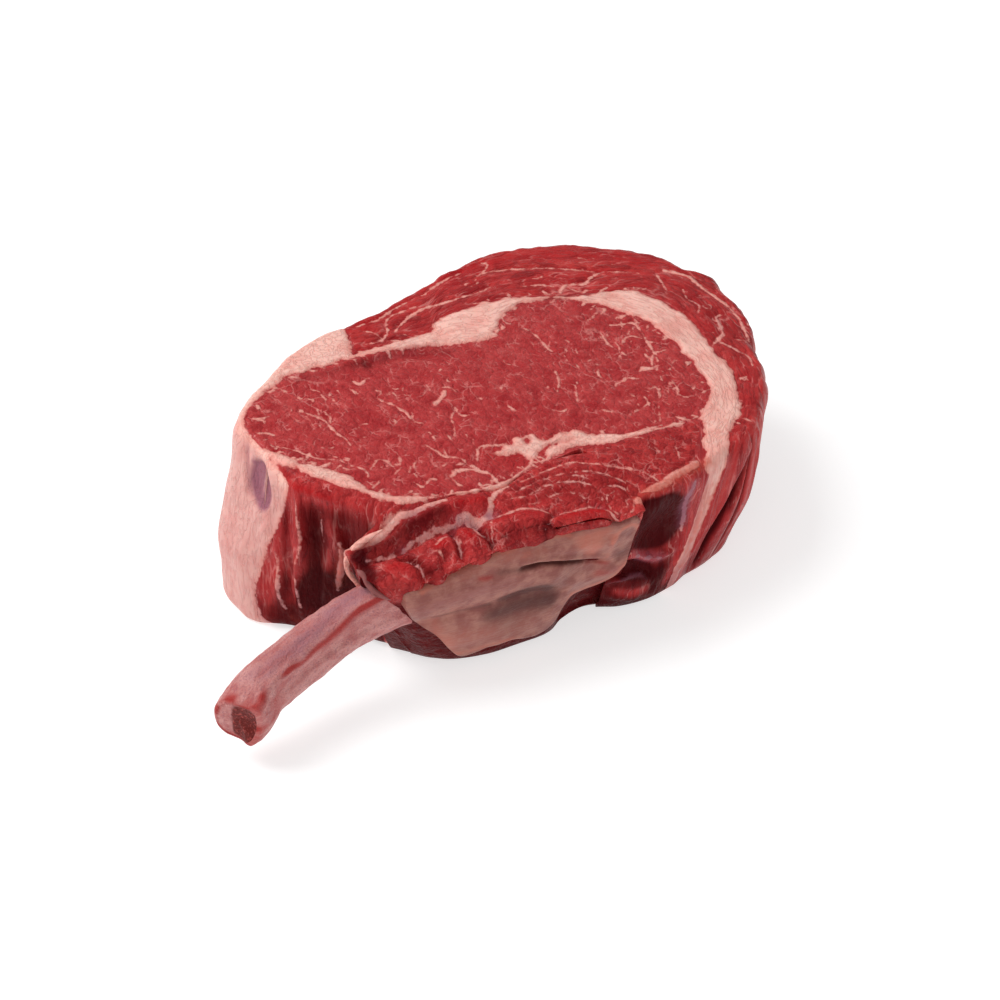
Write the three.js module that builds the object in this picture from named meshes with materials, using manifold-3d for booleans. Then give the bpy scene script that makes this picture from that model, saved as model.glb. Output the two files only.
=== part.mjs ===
// Raw bone-in rib steak: one thick cut with a cleaned rib bone standing out of its side.
//
// Units are millimetres and +Z is up. The steak lies on a cut face, so z = 0 is its underside. X runs
// along the rib, with the free end of the bone at -X. Y runs from the rib side (-Y) to the back (+Y).
// The muscles and the fat between them run through the whole thickness, so each is the slab of meat cut
// to its own outline in plan. The meat on the rib, its skin and the bone are lofted.
import * as THREE from 'three';
import { mergeVertices } from 'three/addons/utils/BufferGeometryUtils.js';
import Module from 'manifold-3d';

const wasm = await Module();
wasm.setup();

// ---------------------------------------------------------------- driving dimensions, in millimetres

const CUT_HEIGHT = 55; // thickness of the steak over the origin
const CUT_FALL_X = -0.05; // the upper cut face falls by this much for each millimetre to the right
const CUT_RISE_Y = 0.12; // and rises by this much for each millimetre to the back
const GAP = 0.3; // between neighbouring pieces
const CUTTER_RISE = 14; // how far a cutter stands out of the rib meat's top
const CUTTER_DROP = 18; // and how far a plan cutter reaches below the underside

const SWELL = { at: [2, 14], reach: [62, 30], height: 1.4 }; // low dome of the eye muscle
const HOLLOW = { at: [12, -14], reach: [26, 7], height: -1.6 }; // dip over the fat in front of the eye
// The cap falls to its outer edge: centre, distances where the fall starts and ends, and the ranges of x
// and y over which it comes in.
const BACK_FALL = { from: [44, 10], start: 46, end: 72, height: -1.6, inX: [-30, 20], inY: [-10, 20] };

// The cut face steps down to the rib meat: how far at its left end, the places on X where that is full and
// where it has run out, and the width of the step.
const RIB_DROP = { depth: 9.5, leftX: -60, rightX: -6, width: 10 };
const RIB_DROP_FROM = [[-60, -7], [-52, -11], [-44, -17], [-28, -20], [-10, -21]]; // line where it starts

const EDGE_TOP = { across: 3.2, down: 6 }; // rounding of the wall into the upper face
const EDGE_FOOT = { across: 2.4, down: 4 }; // and into the underside
const WALL_SWELL = 1.8; // how far the wall bulges at half height

// The rim of the slab, clockwise from the left corner as seen from above. Each row gives a place on
// the upper face and the place of the wall's foot under it.
const RIM = [
  [-70, 24.5, -79, 22],
  [-70.8, 32, -78.5, 33],
  [-65, 39.5, -70, 44],
  [-55, 47.5, -58, 52],
  [-43.5, 55, -45, 59],
  [-30, 60.5, -30, 64],
  [-19, 62, -19, 65],
  [-8, 65.5, -8, 68],
  [6, 70.5, 6, 72],
  [20, 75, 20, 75.5],
  [36, 78, 36, 77.5],
  [51, 77.5, 52, 76],
  [65, 73.5, 65, 71.5],
  [77, 66.5, 77, 64],
  [88, 58.5, 87, 56],
  [96, 49.5, 94, 47],
  [101.5, 40, 97, 38],
  [103, 29, 97, 27.5],
  [101, 16, 94, 15],
  [96, 4, 87, 3.5],
  [90.5, -8, 81, -7],
  [83.5, -19, 73.5, -16.5],
  [75, -28, 65, -25],
  [65, -34.5, 56, -30],
  [55, -38, 47, -33],
  [46, -40, 39, -34.5],
  [37, -42.5, 31, -35.5],
  [28, -43, 22, -34],
  [18, -38, 14, -30],
  [2, -32, 2, -27],
  [-16, -31, -14, -26],
  [-34, -29, -30, -24],
  [-46, -24, -42, -18],
  [-53, -14, -50.5, -10],
  [-59.5, -5.5, -57, -1.5],
  [-65.5, 3, -66, 5.5],
  [-69.5, 12, -74, 12.5],
  [-70, 19, -78, 17],
];

// Hollows and swellings of the wall: centre on the rim, height as a share of the thickness, reach
// along the wall and in height, and depth (negative is a hollow).
const WALL_FORMS = [
  { at: [34, -42], height: 0.55, along: 8, tall: 0.26, depth: -6.5 }, // recess beside the rib meat
  { at: [56, -37], height: 0.35, along: 7, tall: 0.5, depth: -2.2 }, // groove before the cap
  { at: [72, -31], height: 0.5, along: 7, tall: 0.4, depth: 1.6 }, // last strand of the cap
  { at: [-55, -8], height: 0.45, along: 5, tall: 0.5, depth: -3.4 }, // hollow behind the bone
  { at: [-66, 9], height: 0.35, along: 4, tall: 0.5, depth: -1.4 }, // groove beside the left fat
  { at: [-73, 27], height: 0.4, along: 8, tall: 0.3, depth: 1.4 }, // swell of the left fat
  { at: [-72, 20], height: 0.72, along: 3.5, tall: 0.14, depth: -1.6 }, // dent in the left fat
];
// Strands down the cap's wall: where they begin and end, spacing, slant and depth, the length over which
// they come in, and the share of the way after which they fade.
const STRANDS = { from: [60, -38], to: [102, 30], pitch: 19, slant: 14, depth: 0.6, fadeIn: 12, fadeAt: 0.7 };

// Plan outlines of the muscles. Each is a closed smooth curve, clockwise from its left end.
const EYE = [
  [-66, 20], [-65, 32], [-56, 41], [-44, 45], [-27, 44.5], [-10, 44], [5, 42], [20, 38.5], [28, 45.5],
  [40, 48], [52, 43], [61, 34], [69, 21], [70, 4], [68, -9], [58, -18.5], [46, -17.5], [34, -16],
  [22, -11.5], [11, -11.5], [4, -17], [-5, -19.5], [-15, -20.5], [-27, -19], [-38, -16], [-46, -10.5],
  [-51, -2], [-57, 5.5], [-63, 12],
];
const INNER_MUSCLE = [
  [6, -19.5], [18, -16.5], [34, -20.5], [47, -21.5], [56, -22], [53, -28], [49, -34], [47, -40],
  [44, -54], [8, -56], [-18, -46], [-16, -26], [-5, -22.5],
];
const SIDE_STRAP = [
  [-70.5, 13], [-64.5, 6], [-58.5, -2], [-52, -10.5], [-45, -18], [-32, -22.5], [-20, -25],
  [-13, -28], [-18, -46], [-62, -42], [-90, -8], [-92, 4], [-80, 12],
];
const STRAP_SLANT = [0.15, 0.14]; // its inner side leans in by this much for each millimetre down
const KERNEL_FAT = [
  [-24, 47], [-10, 47.2], [2, 47.2], [9, 52.5], [24, 53.5], [38, 52], [50, 47.5], [62, 44.5], [73, 41.5],
  [79, 33], [81.5, 20], [81, 5], [79.5, -9], [72, -21.5], [64, -29], [59, -36], [58, -50], [46, -50],
  [45, -34], [48, -26], [54, -16], [64, -8], [62, 10], [52, 32], [38, 40], [26, 34],
  [4, 36], [-22, 38],
];
// Everything left of the cap, which is the fat on the left side and along the eye, in four stretches.
const SIDE_FAT = {
  front: [
    [-69, 14.5], [-64, 5.5], [-58, -2], [-52, -10], [-44.5, -17.5], [-32, -21], [-20, -23.5],
    [-12, -24.5], [-4, -22], [6, -19], [18, -16], [34, -20], [47, -21], [57, -21],
  ],
  underEye: [[60, -15], [46, -10], [20, -4], [0, -8], [-20, -8], [-40, 0], [-50, 20], [-30, 38]],
  capSide: [[-23, 46], [-21, 56], [-21, 68]],
  outside: [[-50, 66], [-96, 46], [-98, 14], [-84, 12]],
};

// Meat on the rib: rows of upper inner edge, upper outer edge, foot of the inner edge, foot of the
// outer edge, from the bone's side to the thick end.
const RIB_MEAT = [
  [-61.5, -18, -61.5, -27.5, -46, -15, -42, -22],
  [-54, -18, -57, -35, -43, -18, -38, -26.5],
  [-44, -19.5, -46, -38.5, -38, -20, -31, -31],
  [-28, -20.5, -30, -40, -26, -21.5, -22, -33.5],
  [-13, -23, -15, -41, -13, -22, -12, -34],
  [-3, -20, -3, -42.5, -3, -20, -3, -34],
  [8, -17.5, 8, -44, 6, -18, 5, -31],
  [19, -19.5, 15.5, -46, 13, -20, 12.5, -29.5],
  [27, -24, 23, -45, 19, -22, 19, -31],
];
const RIB_EDGE = { across: 3, down: 5 }; // rounding of its upper front edge
const RIB_SWELL = 1.2; // how far its front bulges at half height
const RIB_FRONT_FALL = 3; // how far its top falls to its front edge
const FINGERS = { pitch: 23, depth: 1.5, firstX: -58 }; // swellings of the meat between the cuts

const MEMBRANE = { depth: 3, proud: 0.6, clear: 1.2 }; // the skin on the rib meat, and its cutter's reach
// Its outline on the front of the rib meat: share of the length, lower edge and upper edge as shares
// of the height.
const MEMBRANE_EDGE = [
  [0.12, 0.64, 0.84],
  [0.16, 0.5, 0.97],
  [0.2, 0.38, 0.98],
  [0.225, 0.18, 0.98],
  [0.26, 0.09, 0.98],
  [0.36, 0.12, 0.98],
  [0.46, 0.11, 0.98],
  [0.56, 0.08, 0.98],
  [0.62, 0.13, 0.98],
  [0.67, 0.3, 0.98],
  [0.74, 0.35, 0.98],
  [0.85, 0.35, 0.98],
  [0.94, 0.38, 0.98],
  [0.985, 0.52, 0.93],
];

// The rib: centre line, then half height and half thickness of its section at each place.
const RIB_BONE = [
  [-108, -37.2, 16.2, 7.8, 6.2],
  [-103, -35.2, 17.6, 9, 6.8],
  [-93, -31.5, 20.5, 9.2, 6],
  [-80, -28.2, 23, 9.6, 5.8],
  [-66, -26.6, 26, 9.8, 5.8],
  [-50, -27.6, 29, 10, 5.8],
  [-32, -28.6, 29.8, 9.6, 5.4],
  [-12, -30, 29.4, 9, 5],
  [6, -31, 28, 7.6, 4.4],
];
// The sawn end: its broken edge, its slope to the near side, the share of that slope upwards, how far it
// is set back, and the length of bone that follows the slope.
const BONE_END = { chamfer: 1.2, rake: 4.6, up: 0.8, back: 1.1, reach: 7 };
const BONE_SECTION = 0.8; // power that squares up the bone's oval section
// Ridge along the outer upper corner of the bone: height, angle round the section, reach as an angle.
const BONE_RIDGE = { height: 0.9, at: Math.PI / 4, reach: 0.45 };

// Numbers of faces.
const RIM_STEPS = 126;
const WALL_HEIGHTS = [0, 0.03, 0.1, 0.24, 0.4, 0.56, 0.72, 0.86, 0.95, 1];
const FACE_RINGS = [0.94, 0.85, 0.74, 0.61, 0.46, 0.3, 0.14]; // scales of the rings on the cut face
const FOOT_RINGS = [0.18, 0.5, 0.82]; // and on the underside
const RING_MIDDLE = [10, 12]; // place that those rings shrink to
const OUTLINE_STEPS = 3; // sides for each point of a plan outline
const RIB_MEAT_STEPS = 32;
const RIB_TOP_SHARES = [0, 0.15, 0.35, 0.6, 0.82]; // across the top of the rib meat
const RIB_FRONT_SHARES = [1, 0.95, 0.86, 0.7, 0.5, 0.3, 0.12, 0.04, 0]; // down its front
const RIB_BACK_SHARES = [0.35, 0.7]; // and up its inner side
const MEMBRANE_STEPS = 26;
const MEMBRANE_LEVELS = 7;
const BONE_STEPS = 30;
const BONE_SIDES = 20;
const WELD = 1e-4; // corners nearer than this are one
const FLATTEN = 0.02; // faces are joined where that moves no point further than this
const NUDGE = 1e-3; // step along a curve to read its direction

// Colours, roughness.
const FINISH = {
  lean: { color: 0x9e2a2c, roughness: 0.42 },
  cap: { color: 0x8f2226, roughness: 0.42 },
  strap: { color: 0x7d1f22, roughness: 0.45 },
  fat: { color: 0xe8bfae, roughness: 0.5 },
  seam: { color: 0xe9b9a2, roughness: 0.5 },
  skin: { color: 0xb08878, roughness: 0.4 },
  bone: { color: 0xc28e8c, roughness: 0.5 },
};

// ---------------------------------------------------------------- small tools

const clamp01 = (value) => Math.min(1, Math.max(0, value));
const smooth = (low, high, value) => {
  const share = clamp01((value - low) / (high - low));
  return share * share * (3 - 2 * share);
};
const bell = (distance, reach) => Math.exp(-((distance / reach) ** 2));

/** A smooth curve through rows of numbers, read at a share of its length in points. */
function smoothRows(rows, closed = false) {
  const width = rows[0].length;
  const groups = [];
  for (let start = 0; start < width; start += 3) {
    const points = rows.map((row) => new THREE.Vector3(row[start], row[start + 1] ?? 0, row[start + 2] ?? 0));
    groups.push(new THREE.CatmullRomCurve3(points, closed, 'catmullrom', 0.5));
  }
  return (share) => groups.flatMap((curve) => curve.getPoint(share).toArray()).slice(0, width);
}

/** A closed body from rings of points: neighbouring rings are joined, and both ends are closed. */
function loft(rings) {
  const positions = rings.flat();
  const sides = rings[0].length;
  const index = [];
  for (let i = 0; i + 1 < rings.length; i += 1) {
    for (let j = 0; j < sides; j += 1) {
      const a = i * sides + j;
      const b = i * sides + ((j + 1) % sides);
      index.push(a, b, a + sides, b, b + sides, a + sides);
    }
  }
  for (const [first, turned] of [[0, false], [(rings.length - 1) * sides, true]]) {
    const ring = positions.slice(first, first + sides);
    const centre = [0, 1, 2].map((axis) => ring.reduce((sum, point) => sum + point[axis], 0) / sides);
    positions.push(centre);
    for (let j = 0; j < sides; j += 1) {
      const next = (j + 1) % sides;
      index.push(positions.length - 1, first + (turned ? j : next), first + (turned ? next : j));
    }
  }
  return facing(positions, index);
}

/** A geometry whose faces point outwards, turned round if its volume comes out negative. */
function facing(positions, index) {
  let volume = 0;
  for (let i = 0; i < index.length; i += 3) {
    const [a, b, c] = [0, 1, 2].map((k) => new THREE.Vector3(...positions[index[i + k]]));
    volume += a.dot(b.cross(c));
  }
  if (volume < 0) {
    for (let i = 0; i < index.length; i += 3) {
      [index[i + 1], index[i + 2]] = [index[i + 2], index[i + 1]];
    }
  }
  const geometry = new THREE.BufferGeometry();
  geometry.setAttribute('position', new THREE.Float32BufferAttribute(positions.flat(), 3));
  geometry.setIndex(index);
  return geometry;
}

/** The solid of a closed geometry, ready to be joined and cut. */
function solid(geometry) {
  const bare = geometry.clone();
  bare.deleteAttribute('normal');
  bare.deleteAttribute('uv');
  const merged = mergeVertices(bare, WELD);
  return new wasm.Manifold(
    new wasm.Mesh({
      numProp: 3,
      vertProperties: new Float32Array(merged.attributes.position.array),
      triVerts: new Uint32Array(merged.index.array),
    }),
  );
}

/** The largest connected piece of a solid, so that no loose scrap of a cut is left. */
function largest(whole) {
  return whole.decompose().reduce((best, piece) => (piece.volume() > best.volume() ? piece : best));
}

/** The named mesh of a solid. */
function meshOf(name, body, finish) {
  const { vertProperties, triVerts, numProp } = largest(body).simplify(FLATTEN).getMesh();
  if (numProp !== 3) throw new Error(`${name}: the mesh has more than positions`);
  const geometry = new THREE.BufferGeometry();
  geometry.setAttribute('position', new THREE.Float32BufferAttribute(vertProperties, 3));
  geometry.setIndex(Array.from(triVerts));
  geometry.computeVertexNormals();
  const mesh = new THREE.Mesh(geometry, new THREE.MeshStandardMaterial({ ...finish, metalness: 0 }));
  mesh.name = name;
  return mesh;
}

// ---------------------------------------------------------------- the cut face and the wall

const rimAt = smoothRows(RIM, true);
const mound = ({ at, reach, height }, x, y) =>
  height * Math.exp(-(((x - at[0]) / reach[0]) ** 2) - ((y - at[1]) / reach[1]) ** 2);

/** Place on Y where the step down to the rib meat starts, in straight stretches. */
function dropStart(x) {
  const [firstX, firstY] = RIB_DROP_FROM[0];
  if (x <= firstX) return firstY;
  const next = RIB_DROP_FROM.findIndex(([placeX]) => placeX > x);
  if (next < 0) return RIB_DROP_FROM.at(-1)[1];
  const [[beforeX, beforeY], [afterX, afterY]] = RIB_DROP_FROM.slice(next - 1, next + 1);
  return beforeY + ((afterY - beforeY) * (x - beforeX)) / (afterX - beforeX);
}

/**
 * Height of the upper cut face: a tilted plane with a low dome, a dip, a fall to the back edge and a step
 * down to the rib meat.
 */
function cutFace(x, y) {
  const plane = CUT_HEIGHT + CUT_FALL_X * x + CUT_RISE_Y * y;
  const away = Math.hypot(x - BACK_FALL.from[0], y - BACK_FALL.from[1]);
  const behind = smooth(...BACK_FALL.inY, y) * smooth(...BACK_FALL.inX, x);
  const fall = BACK_FALL.height * smooth(BACK_FALL.start, BACK_FALL.end, away) * behind;
  const { depth, leftX, rightX, width } = RIB_DROP;
  const drop = depth * (1 - smooth(leftX, rightX, x)) * smooth(0, width, dropStart(x) - y);
  return plane + mound(SWELL, x, y) + mound(HOLLOW, x, y) + fall - drop;
}

/** How far the wall is drawn in at a distance from an edge: a quarter of an ellipse. */
function drawnIn({ across, down }, distance) {
  const share = clamp01(distance / down);
  return across * (1 - Math.sqrt(1 - (1 - share) ** 2));
}

/** Outward offset of the wall at a place on the rim and a share of the height. */
function wallOffset(x, y, share) {
  let offset = WALL_SWELL * Math.sin(Math.PI * share);
  for (const form of WALL_FORMS) {
    const away = Math.hypot(x - form.at[0], y - form.at[1]);
    offset += form.depth * bell(away, form.along) * bell(share - form.height, form.tall);
  }
  const [x0, y0] = STRANDS.from;
  const along = Math.hypot(x - x0, y - y0);
  const length = Math.hypot(STRANDS.to[0] - x0, STRANDS.to[1] - y0);
  const fade = smooth(0, STRANDS.fadeIn, along) * (1 - smooth(length * STRANDS.fadeAt, length, along));
  const onCap = x > x0 ? fade : 0;
  const phase = (along + STRANDS.slant * share) / STRANDS.pitch;
  return offset + onCap * STRANDS.depth * Math.sin(2 * Math.PI * phase);
}

/** A point of the wall: between the rim and its foot, moved out along the rim's level normal. */
function wallPoint(turn, share) {
  const [x, y, footX, footY] = rimAt(turn);
  const [nextX, nextY] = rimAt((turn + NUDGE) % 1);
  const length = Math.hypot(nextX - x, nextY - y);
  const normal = [-(nextY - y) / length, (nextX - x) / length];
  const height = cutFace(x, y);
  const edges = drawnIn(EDGE_TOP, (1 - share) * height) + drawnIn(EDGE_FOOT, share * height);
  const out = wallOffset(x, y, share) - edges;
  const lean = 1 - share;
  const px = x + (footX - x) * lean + normal[0] * out;
  const py = y + (footY - y) * lean + normal[1] * out;
  return [px, py, share * (share === 1 ? cutFace(px, py) : height)];
}

/** The whole slab of meat: the wall in level rings, closed by rings that shrink to a middle point. */
function slab() {
  const turns = Array.from({ length: RIM_STEPS }, (_, i) => i / RIM_STEPS);
  const wall = WALL_HEIGHTS.map((share) => turns.map((turn) => wallPoint(turn, share)));
  const [middleX, middleY] = RING_MIDDLE;
  const shrink = (ring, scale, heightAt) =>
    ring.map(([x, y]) => {
      const px = middleX + (x - middleX) * scale;
      const py = middleY + (y - middleY) * scale;
      return [px, py, heightAt(px, py)];
    });
  const upper = FACE_RINGS.map((scale) => shrink(wall.at(-1), scale, cutFace));
  const lower = FOOT_RINGS.map((scale) => shrink(wall[0], scale, () => 0));
  return solid(loft([...lower, ...wall, ...upper]));
}

// ---------------------------------------------------------------- plan outlines as cutters

/** A closed smooth outline, moved out by a distance along its own normals. */
function outline(points, grow) {
  const curve = smoothRows(points, true);
  const count = points.length * OUTLINE_STEPS;
  const ring = Array.from({ length: count }, (_, i) => curve(i / count));
  const area = ring.reduce((sum, [x, y], i) => {
    const [nextX, nextY] = ring[(i + 1) % count];
    return sum + x * nextY - nextX * y;
  }, 0);
  return ring.map(([x, y], i) => {
    const [beforeX, beforeY] = ring[(i + count - 1) % count];
    const [afterX, afterY] = ring[(i + 1) % count];
    const run = [afterX - beforeX, afterY - beforeY];
    const scale = (Math.sign(area) * grow) / Math.hypot(...run);
    return [x + run[1] * scale, y - run[0] * scale];
  });
}

/** A cutter through the slab with that plan outline at the cut face, upright unless it slants. */
function cutter(points, grow = 0, slant = [0, 0]) {
  const shape = new THREE.Shape(outline(points, grow).map(([x, y]) => new THREE.Vector2(x, y)));
  const depth = 2 * CUT_HEIGHT; // from below the underside to well over the cut face
  const geometry = new THREE.ExtrudeGeometry(shape, { depth, bevelEnabled: false, steps: 1 });
  geometry.translate(0, 0, -CUTTER_DROP);
  const position = geometry.attributes.position;
  for (let i = 0; i < position.count; i += 1) {
    const below = CUT_HEIGHT - position.getZ(i);
    position.setX(i, position.getX(i) + slant[0] * below);
    position.setY(i, position.getY(i) + slant[1] * below);
  }
  return solid(geometry);
}

// ---------------------------------------------------------------- rib meat, its skin and the bone

const ribMeatAt = smoothRows(RIB_MEAT);

/** Height of the rib meat's upper side: the cut face with a fall to its front edge and low swellings. */
function ribMeatTop(x, y, across) {
  const finger = Math.abs(Math.sin((Math.PI * (x - FINGERS.firstX)) / FINGERS.pitch));
  const swell = FINGERS.depth * (finger - 0.5) * Math.sin(Math.PI * clamp01(across));
  return cutFace(x, y) - RIB_FRONT_FALL * across ** 2 + swell;
}

/** A point on the front of the rib meat, at a share of its length and of its height. */
function ribFront(share, up, out = 0) {
  const [, , x, y, , , footX, footY] = ribMeatAt(share);
  const height = ribMeatTop(x, y, 1);
  const inset = drawnIn(RIB_EDGE, (1 - up) * height) + drawnIn(EDGE_FOOT, up * height);
  const lean = 1 - up;
  const swell = RIB_SWELL * Math.sin(Math.PI * up) + out - inset;
  return [x + (footX - x) * lean, y + (footY - y) * lean - swell, up * height];
}

/** The meat on the rib: level rows over its top, down its front, under it and up its inner side. */
function ribMeat(grow = 0) {
  const rise = grow ? CUTTER_RISE : 0; // a cutter for the slab reaches out of its upper face
  const rings = [];
  for (let i = 0; i <= RIB_MEAT_STEPS; i += 1) {
    const share = i / RIB_MEAT_STEPS;
    const [inX, inY, outX, outY, footInX, footInY, footOutX, footOutY] = ribMeatAt(share);
    const end = i === 0 ? -grow : Number(i === RIB_MEAT_STEPS) * grow;
    const ring = [];
    for (const across of RIB_TOP_SHARES) {
      const x = inX + (outX - inX) * across;
      const y = inY + (outY - inY) * across + (across === 0 ? grow : 0);
      const height = ribMeatTop(x, y, across);
      const leanX = x - (footInX + (footOutX - footInX) * across);
      const leanY = y - (footInY + (footOutY - footInY) * across);
      const more = rise / height;
      ring.push([x + leanX * more, y + leanY * more, height + rise]);
    }
    for (const up of RIB_FRONT_SHARES) ring.push(ribFront(share, up, grow));
    ring.push([footInX, footInY + grow, -grow]);
    for (const up of RIB_BACK_SHARES) {
      const lean = 1 - up;
      const height = up * ribMeatTop(inX, inY, 0);
      ring.push([inX + (footInX - inX) * lean, inY + (footInY - inY) * lean + grow, height]);
    }
    rings.push(ring.map(([x, y, z]) => [x + end, y, z]));
  }
  return solid(loft(rings));
}

/** The skin on the front of the rib meat: a thin plate between its lower and its upper edge. */
function membrane(grow = 0) {
  const edgeAt = smoothRows(MEMBRANE_EDGE);
  const rings = [];
  for (let i = 0; i <= MEMBRANE_STEPS; i += 1) {
    const [share, low, high] = edgeAt(i / MEMBRANE_STEPS);
    const margin = grow / CUT_HEIGHT;
    const foot = low - margin;
    const reach = high - low + 2 * margin;
    const ups = Array.from({ length: MEMBRANE_LEVELS }, (_, k) => foot + (reach * k) / (MEMBRANE_LEVELS - 1));
    const end = i === 0 ? -grow : Number(i === MEMBRANE_STEPS) * grow;
    const proud = MEMBRANE.proud + (grow ? MEMBRANE.clear : 0);
    const front = ups.map((up) => ribFront(share, up, proud));
    const behind = ups.map((up) => ribFront(share, up, -MEMBRANE.depth - grow)).reverse();
    rings.push([...front, ...behind].map(([x, y, z]) => [x + end, y, z]));
  }
  return solid(loft(rings));
}

/** The rib: a tall oval section with a ridge, carried along its bowed centre line. */
function ribBone(grow = 0) {
  const boneAt = smoothRows(RIB_BONE);
  const rings = [];
  for (let i = 0; i <= BONE_STEPS; i += 1) {
    const share = i / BONE_STEPS;
    const [x, y, z, tall, thick] = boneAt(share);
    const [beforeX, beforeY, beforeZ] = boneAt(Math.max(0, share - NUDGE));
    const [afterX, afterY, afterZ] = boneAt(Math.min(1, share + NUDGE));
    const run = new THREE.Vector3(afterX - beforeX, afterY - beforeY, afterZ - beforeZ).normalize();
    const side = new THREE.Vector3(run.y, -run.x, 0).normalize();
    const up = new THREE.Vector3().crossVectors(side, run);
    if (up.z < 0) up.negate();
    const broken = i === 0 ? BONE_END.chamfer : 0;
    const near = bell(x - RIB_BONE[0][0], BONE_END.reach);
    const ring = [];
    for (let j = 0; j < BONE_SIDES; j += 1) {
      const angle = (2 * Math.PI * j) / BONE_SIDES;
      const across = Math.sign(Math.cos(angle)) * Math.abs(Math.cos(angle)) ** BONE_SECTION;
      const rise = Math.sign(Math.sin(angle)) * Math.abs(Math.sin(angle)) ** BONE_SECTION;
      const ridge = BONE_RIDGE.height * bell(angle - BONE_RIDGE.at, BONE_RIDGE.reach);
      const point = new THREE.Vector3(x, y, z);
      point.addScaledVector(side, across * (thick - broken) + grow * across + ridge);
      point.addScaledVector(up, rise * (tall - broken) + grow * rise + ridge);
      point.x += near * ((BONE_END.rake * (BONE_END.up * rise + across)) / 2 + BONE_END.back);
      if (i === 0) point.x -= grow;
      ring.push(point.toArray());
    }
    rings.push(ring);
  }
  return solid(loft(rings));
}

// ---------------------------------------------------------------- the steak

function steak() {
  const whole = slab();
  const bone = ribBone();
  const fits = { bone: ribBone(GAP), ribMeat: ribMeat(GAP), skin: membrane(GAP) };
  const meat = whole.subtract(fits.ribMeat).subtract(fits.bone);

  const strap = meat.intersect(cutter(SIDE_STRAP, 0, STRAP_SLANT));
  const inside = meat.subtract(cutter(SIDE_STRAP, GAP, STRAP_SLANT));
  const eye = inside.intersect(cutter(EYE));
  let taken = cutter(EYE, GAP);
  const kernel = inside.intersect(cutter(KERNEL_FAT)).subtract(taken);
  taken = taken.add(cutter(KERNEL_FAT, GAP));
  const sideFatOutline = Object.values(SIDE_FAT).flat();
  const sideFat = inside.intersect(cutter(sideFatOutline)).subtract(taken);
  taken = taken.add(cutter(sideFatOutline, GAP));
  const inner = inside.intersect(cutter(INNER_MUSCLE)).subtract(taken);
  const cap = inside.subtract(taken.add(cutter(INNER_MUSCLE, GAP)));
  const skin = membrane().subtract(fits.bone);
  const rib = ribMeat().subtract(fits.skin).subtract(fits.bone);

  const group = new THREE.Group();
  group.add(
    meshOf('ribeye', eye, FINISH.lean),
    meshOf('kernel_fat', kernel, FINISH.seam),
    meshOf('side_fat', sideFat, FINISH.fat),
    meshOf('side_strap', strap, FINISH.strap),
    meshOf('inner_muscle', inner, FINISH.lean),
    meshOf('rib_cap', cap, FINISH.cap),
    meshOf('rib_meat', rib, FINISH.strap),
    meshOf('rib_membrane', skin, FINISH.skin),
    meshOf('rib_bone', bone, FINISH.bone),
  );
  return group;
}

const group = steak();

export default group;
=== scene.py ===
"""Looks of a raw bone-in rib steak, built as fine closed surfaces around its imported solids.

The steak lies on a cut face. X runs along the rib, with its free end at -X, Y runs from the rib side to
the back, and Z is up. Shapes are worked out in millimetres and put into meshes in metres.

Colour and low relief are drawn on charts: a chart is a flat lattice that covers one side of the steak,
such as its cut face, and holds layers of numbers such as the distance into the nearest fat. Every piece
reads the same charts, so that a seam runs on from one muscle to the next.
"""

from __future__ import annotations

import logging
import math
from collections.abc import Sequence
from dataclasses import dataclass, field, replace
from enum import Enum

import bpy
import numpy as np
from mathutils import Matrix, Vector

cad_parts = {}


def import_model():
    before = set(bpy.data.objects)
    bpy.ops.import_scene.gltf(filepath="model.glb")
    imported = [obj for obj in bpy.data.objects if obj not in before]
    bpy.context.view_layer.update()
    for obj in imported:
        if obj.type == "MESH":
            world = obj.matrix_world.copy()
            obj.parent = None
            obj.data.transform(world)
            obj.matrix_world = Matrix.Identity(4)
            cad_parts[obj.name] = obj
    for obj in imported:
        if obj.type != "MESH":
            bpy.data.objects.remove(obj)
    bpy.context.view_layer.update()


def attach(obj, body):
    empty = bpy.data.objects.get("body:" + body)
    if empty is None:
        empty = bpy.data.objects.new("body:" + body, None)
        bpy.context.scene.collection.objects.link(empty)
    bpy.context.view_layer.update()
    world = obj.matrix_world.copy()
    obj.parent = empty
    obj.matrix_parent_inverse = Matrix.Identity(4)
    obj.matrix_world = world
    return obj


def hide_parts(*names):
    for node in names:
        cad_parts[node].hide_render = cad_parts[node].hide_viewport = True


log = logging.getLogger("rib_steak")

METRES = 0.001  # one millimetre
Array = np.ndarray
Points = Sequence[Sequence[float]]

# ---- sizes of the steak, in millimetres ----

CUT_HEIGHT = 55.0  # thickness over the origin
CUT_FALL_X = -0.05  # the upper cut face falls to the right
CUT_RISE_Y = 0.12  # and rises to the back
CHART_STEP = 0.25  # spacing of what is drawn on the cut face
FACE_STEP = 0.5  # spacing of the surface's points on the cut face
EYE_STEP = 0.36  # closer on the eye muscle, for its marbling
WALL_STEP = 0.8  # and down the walls

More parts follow.
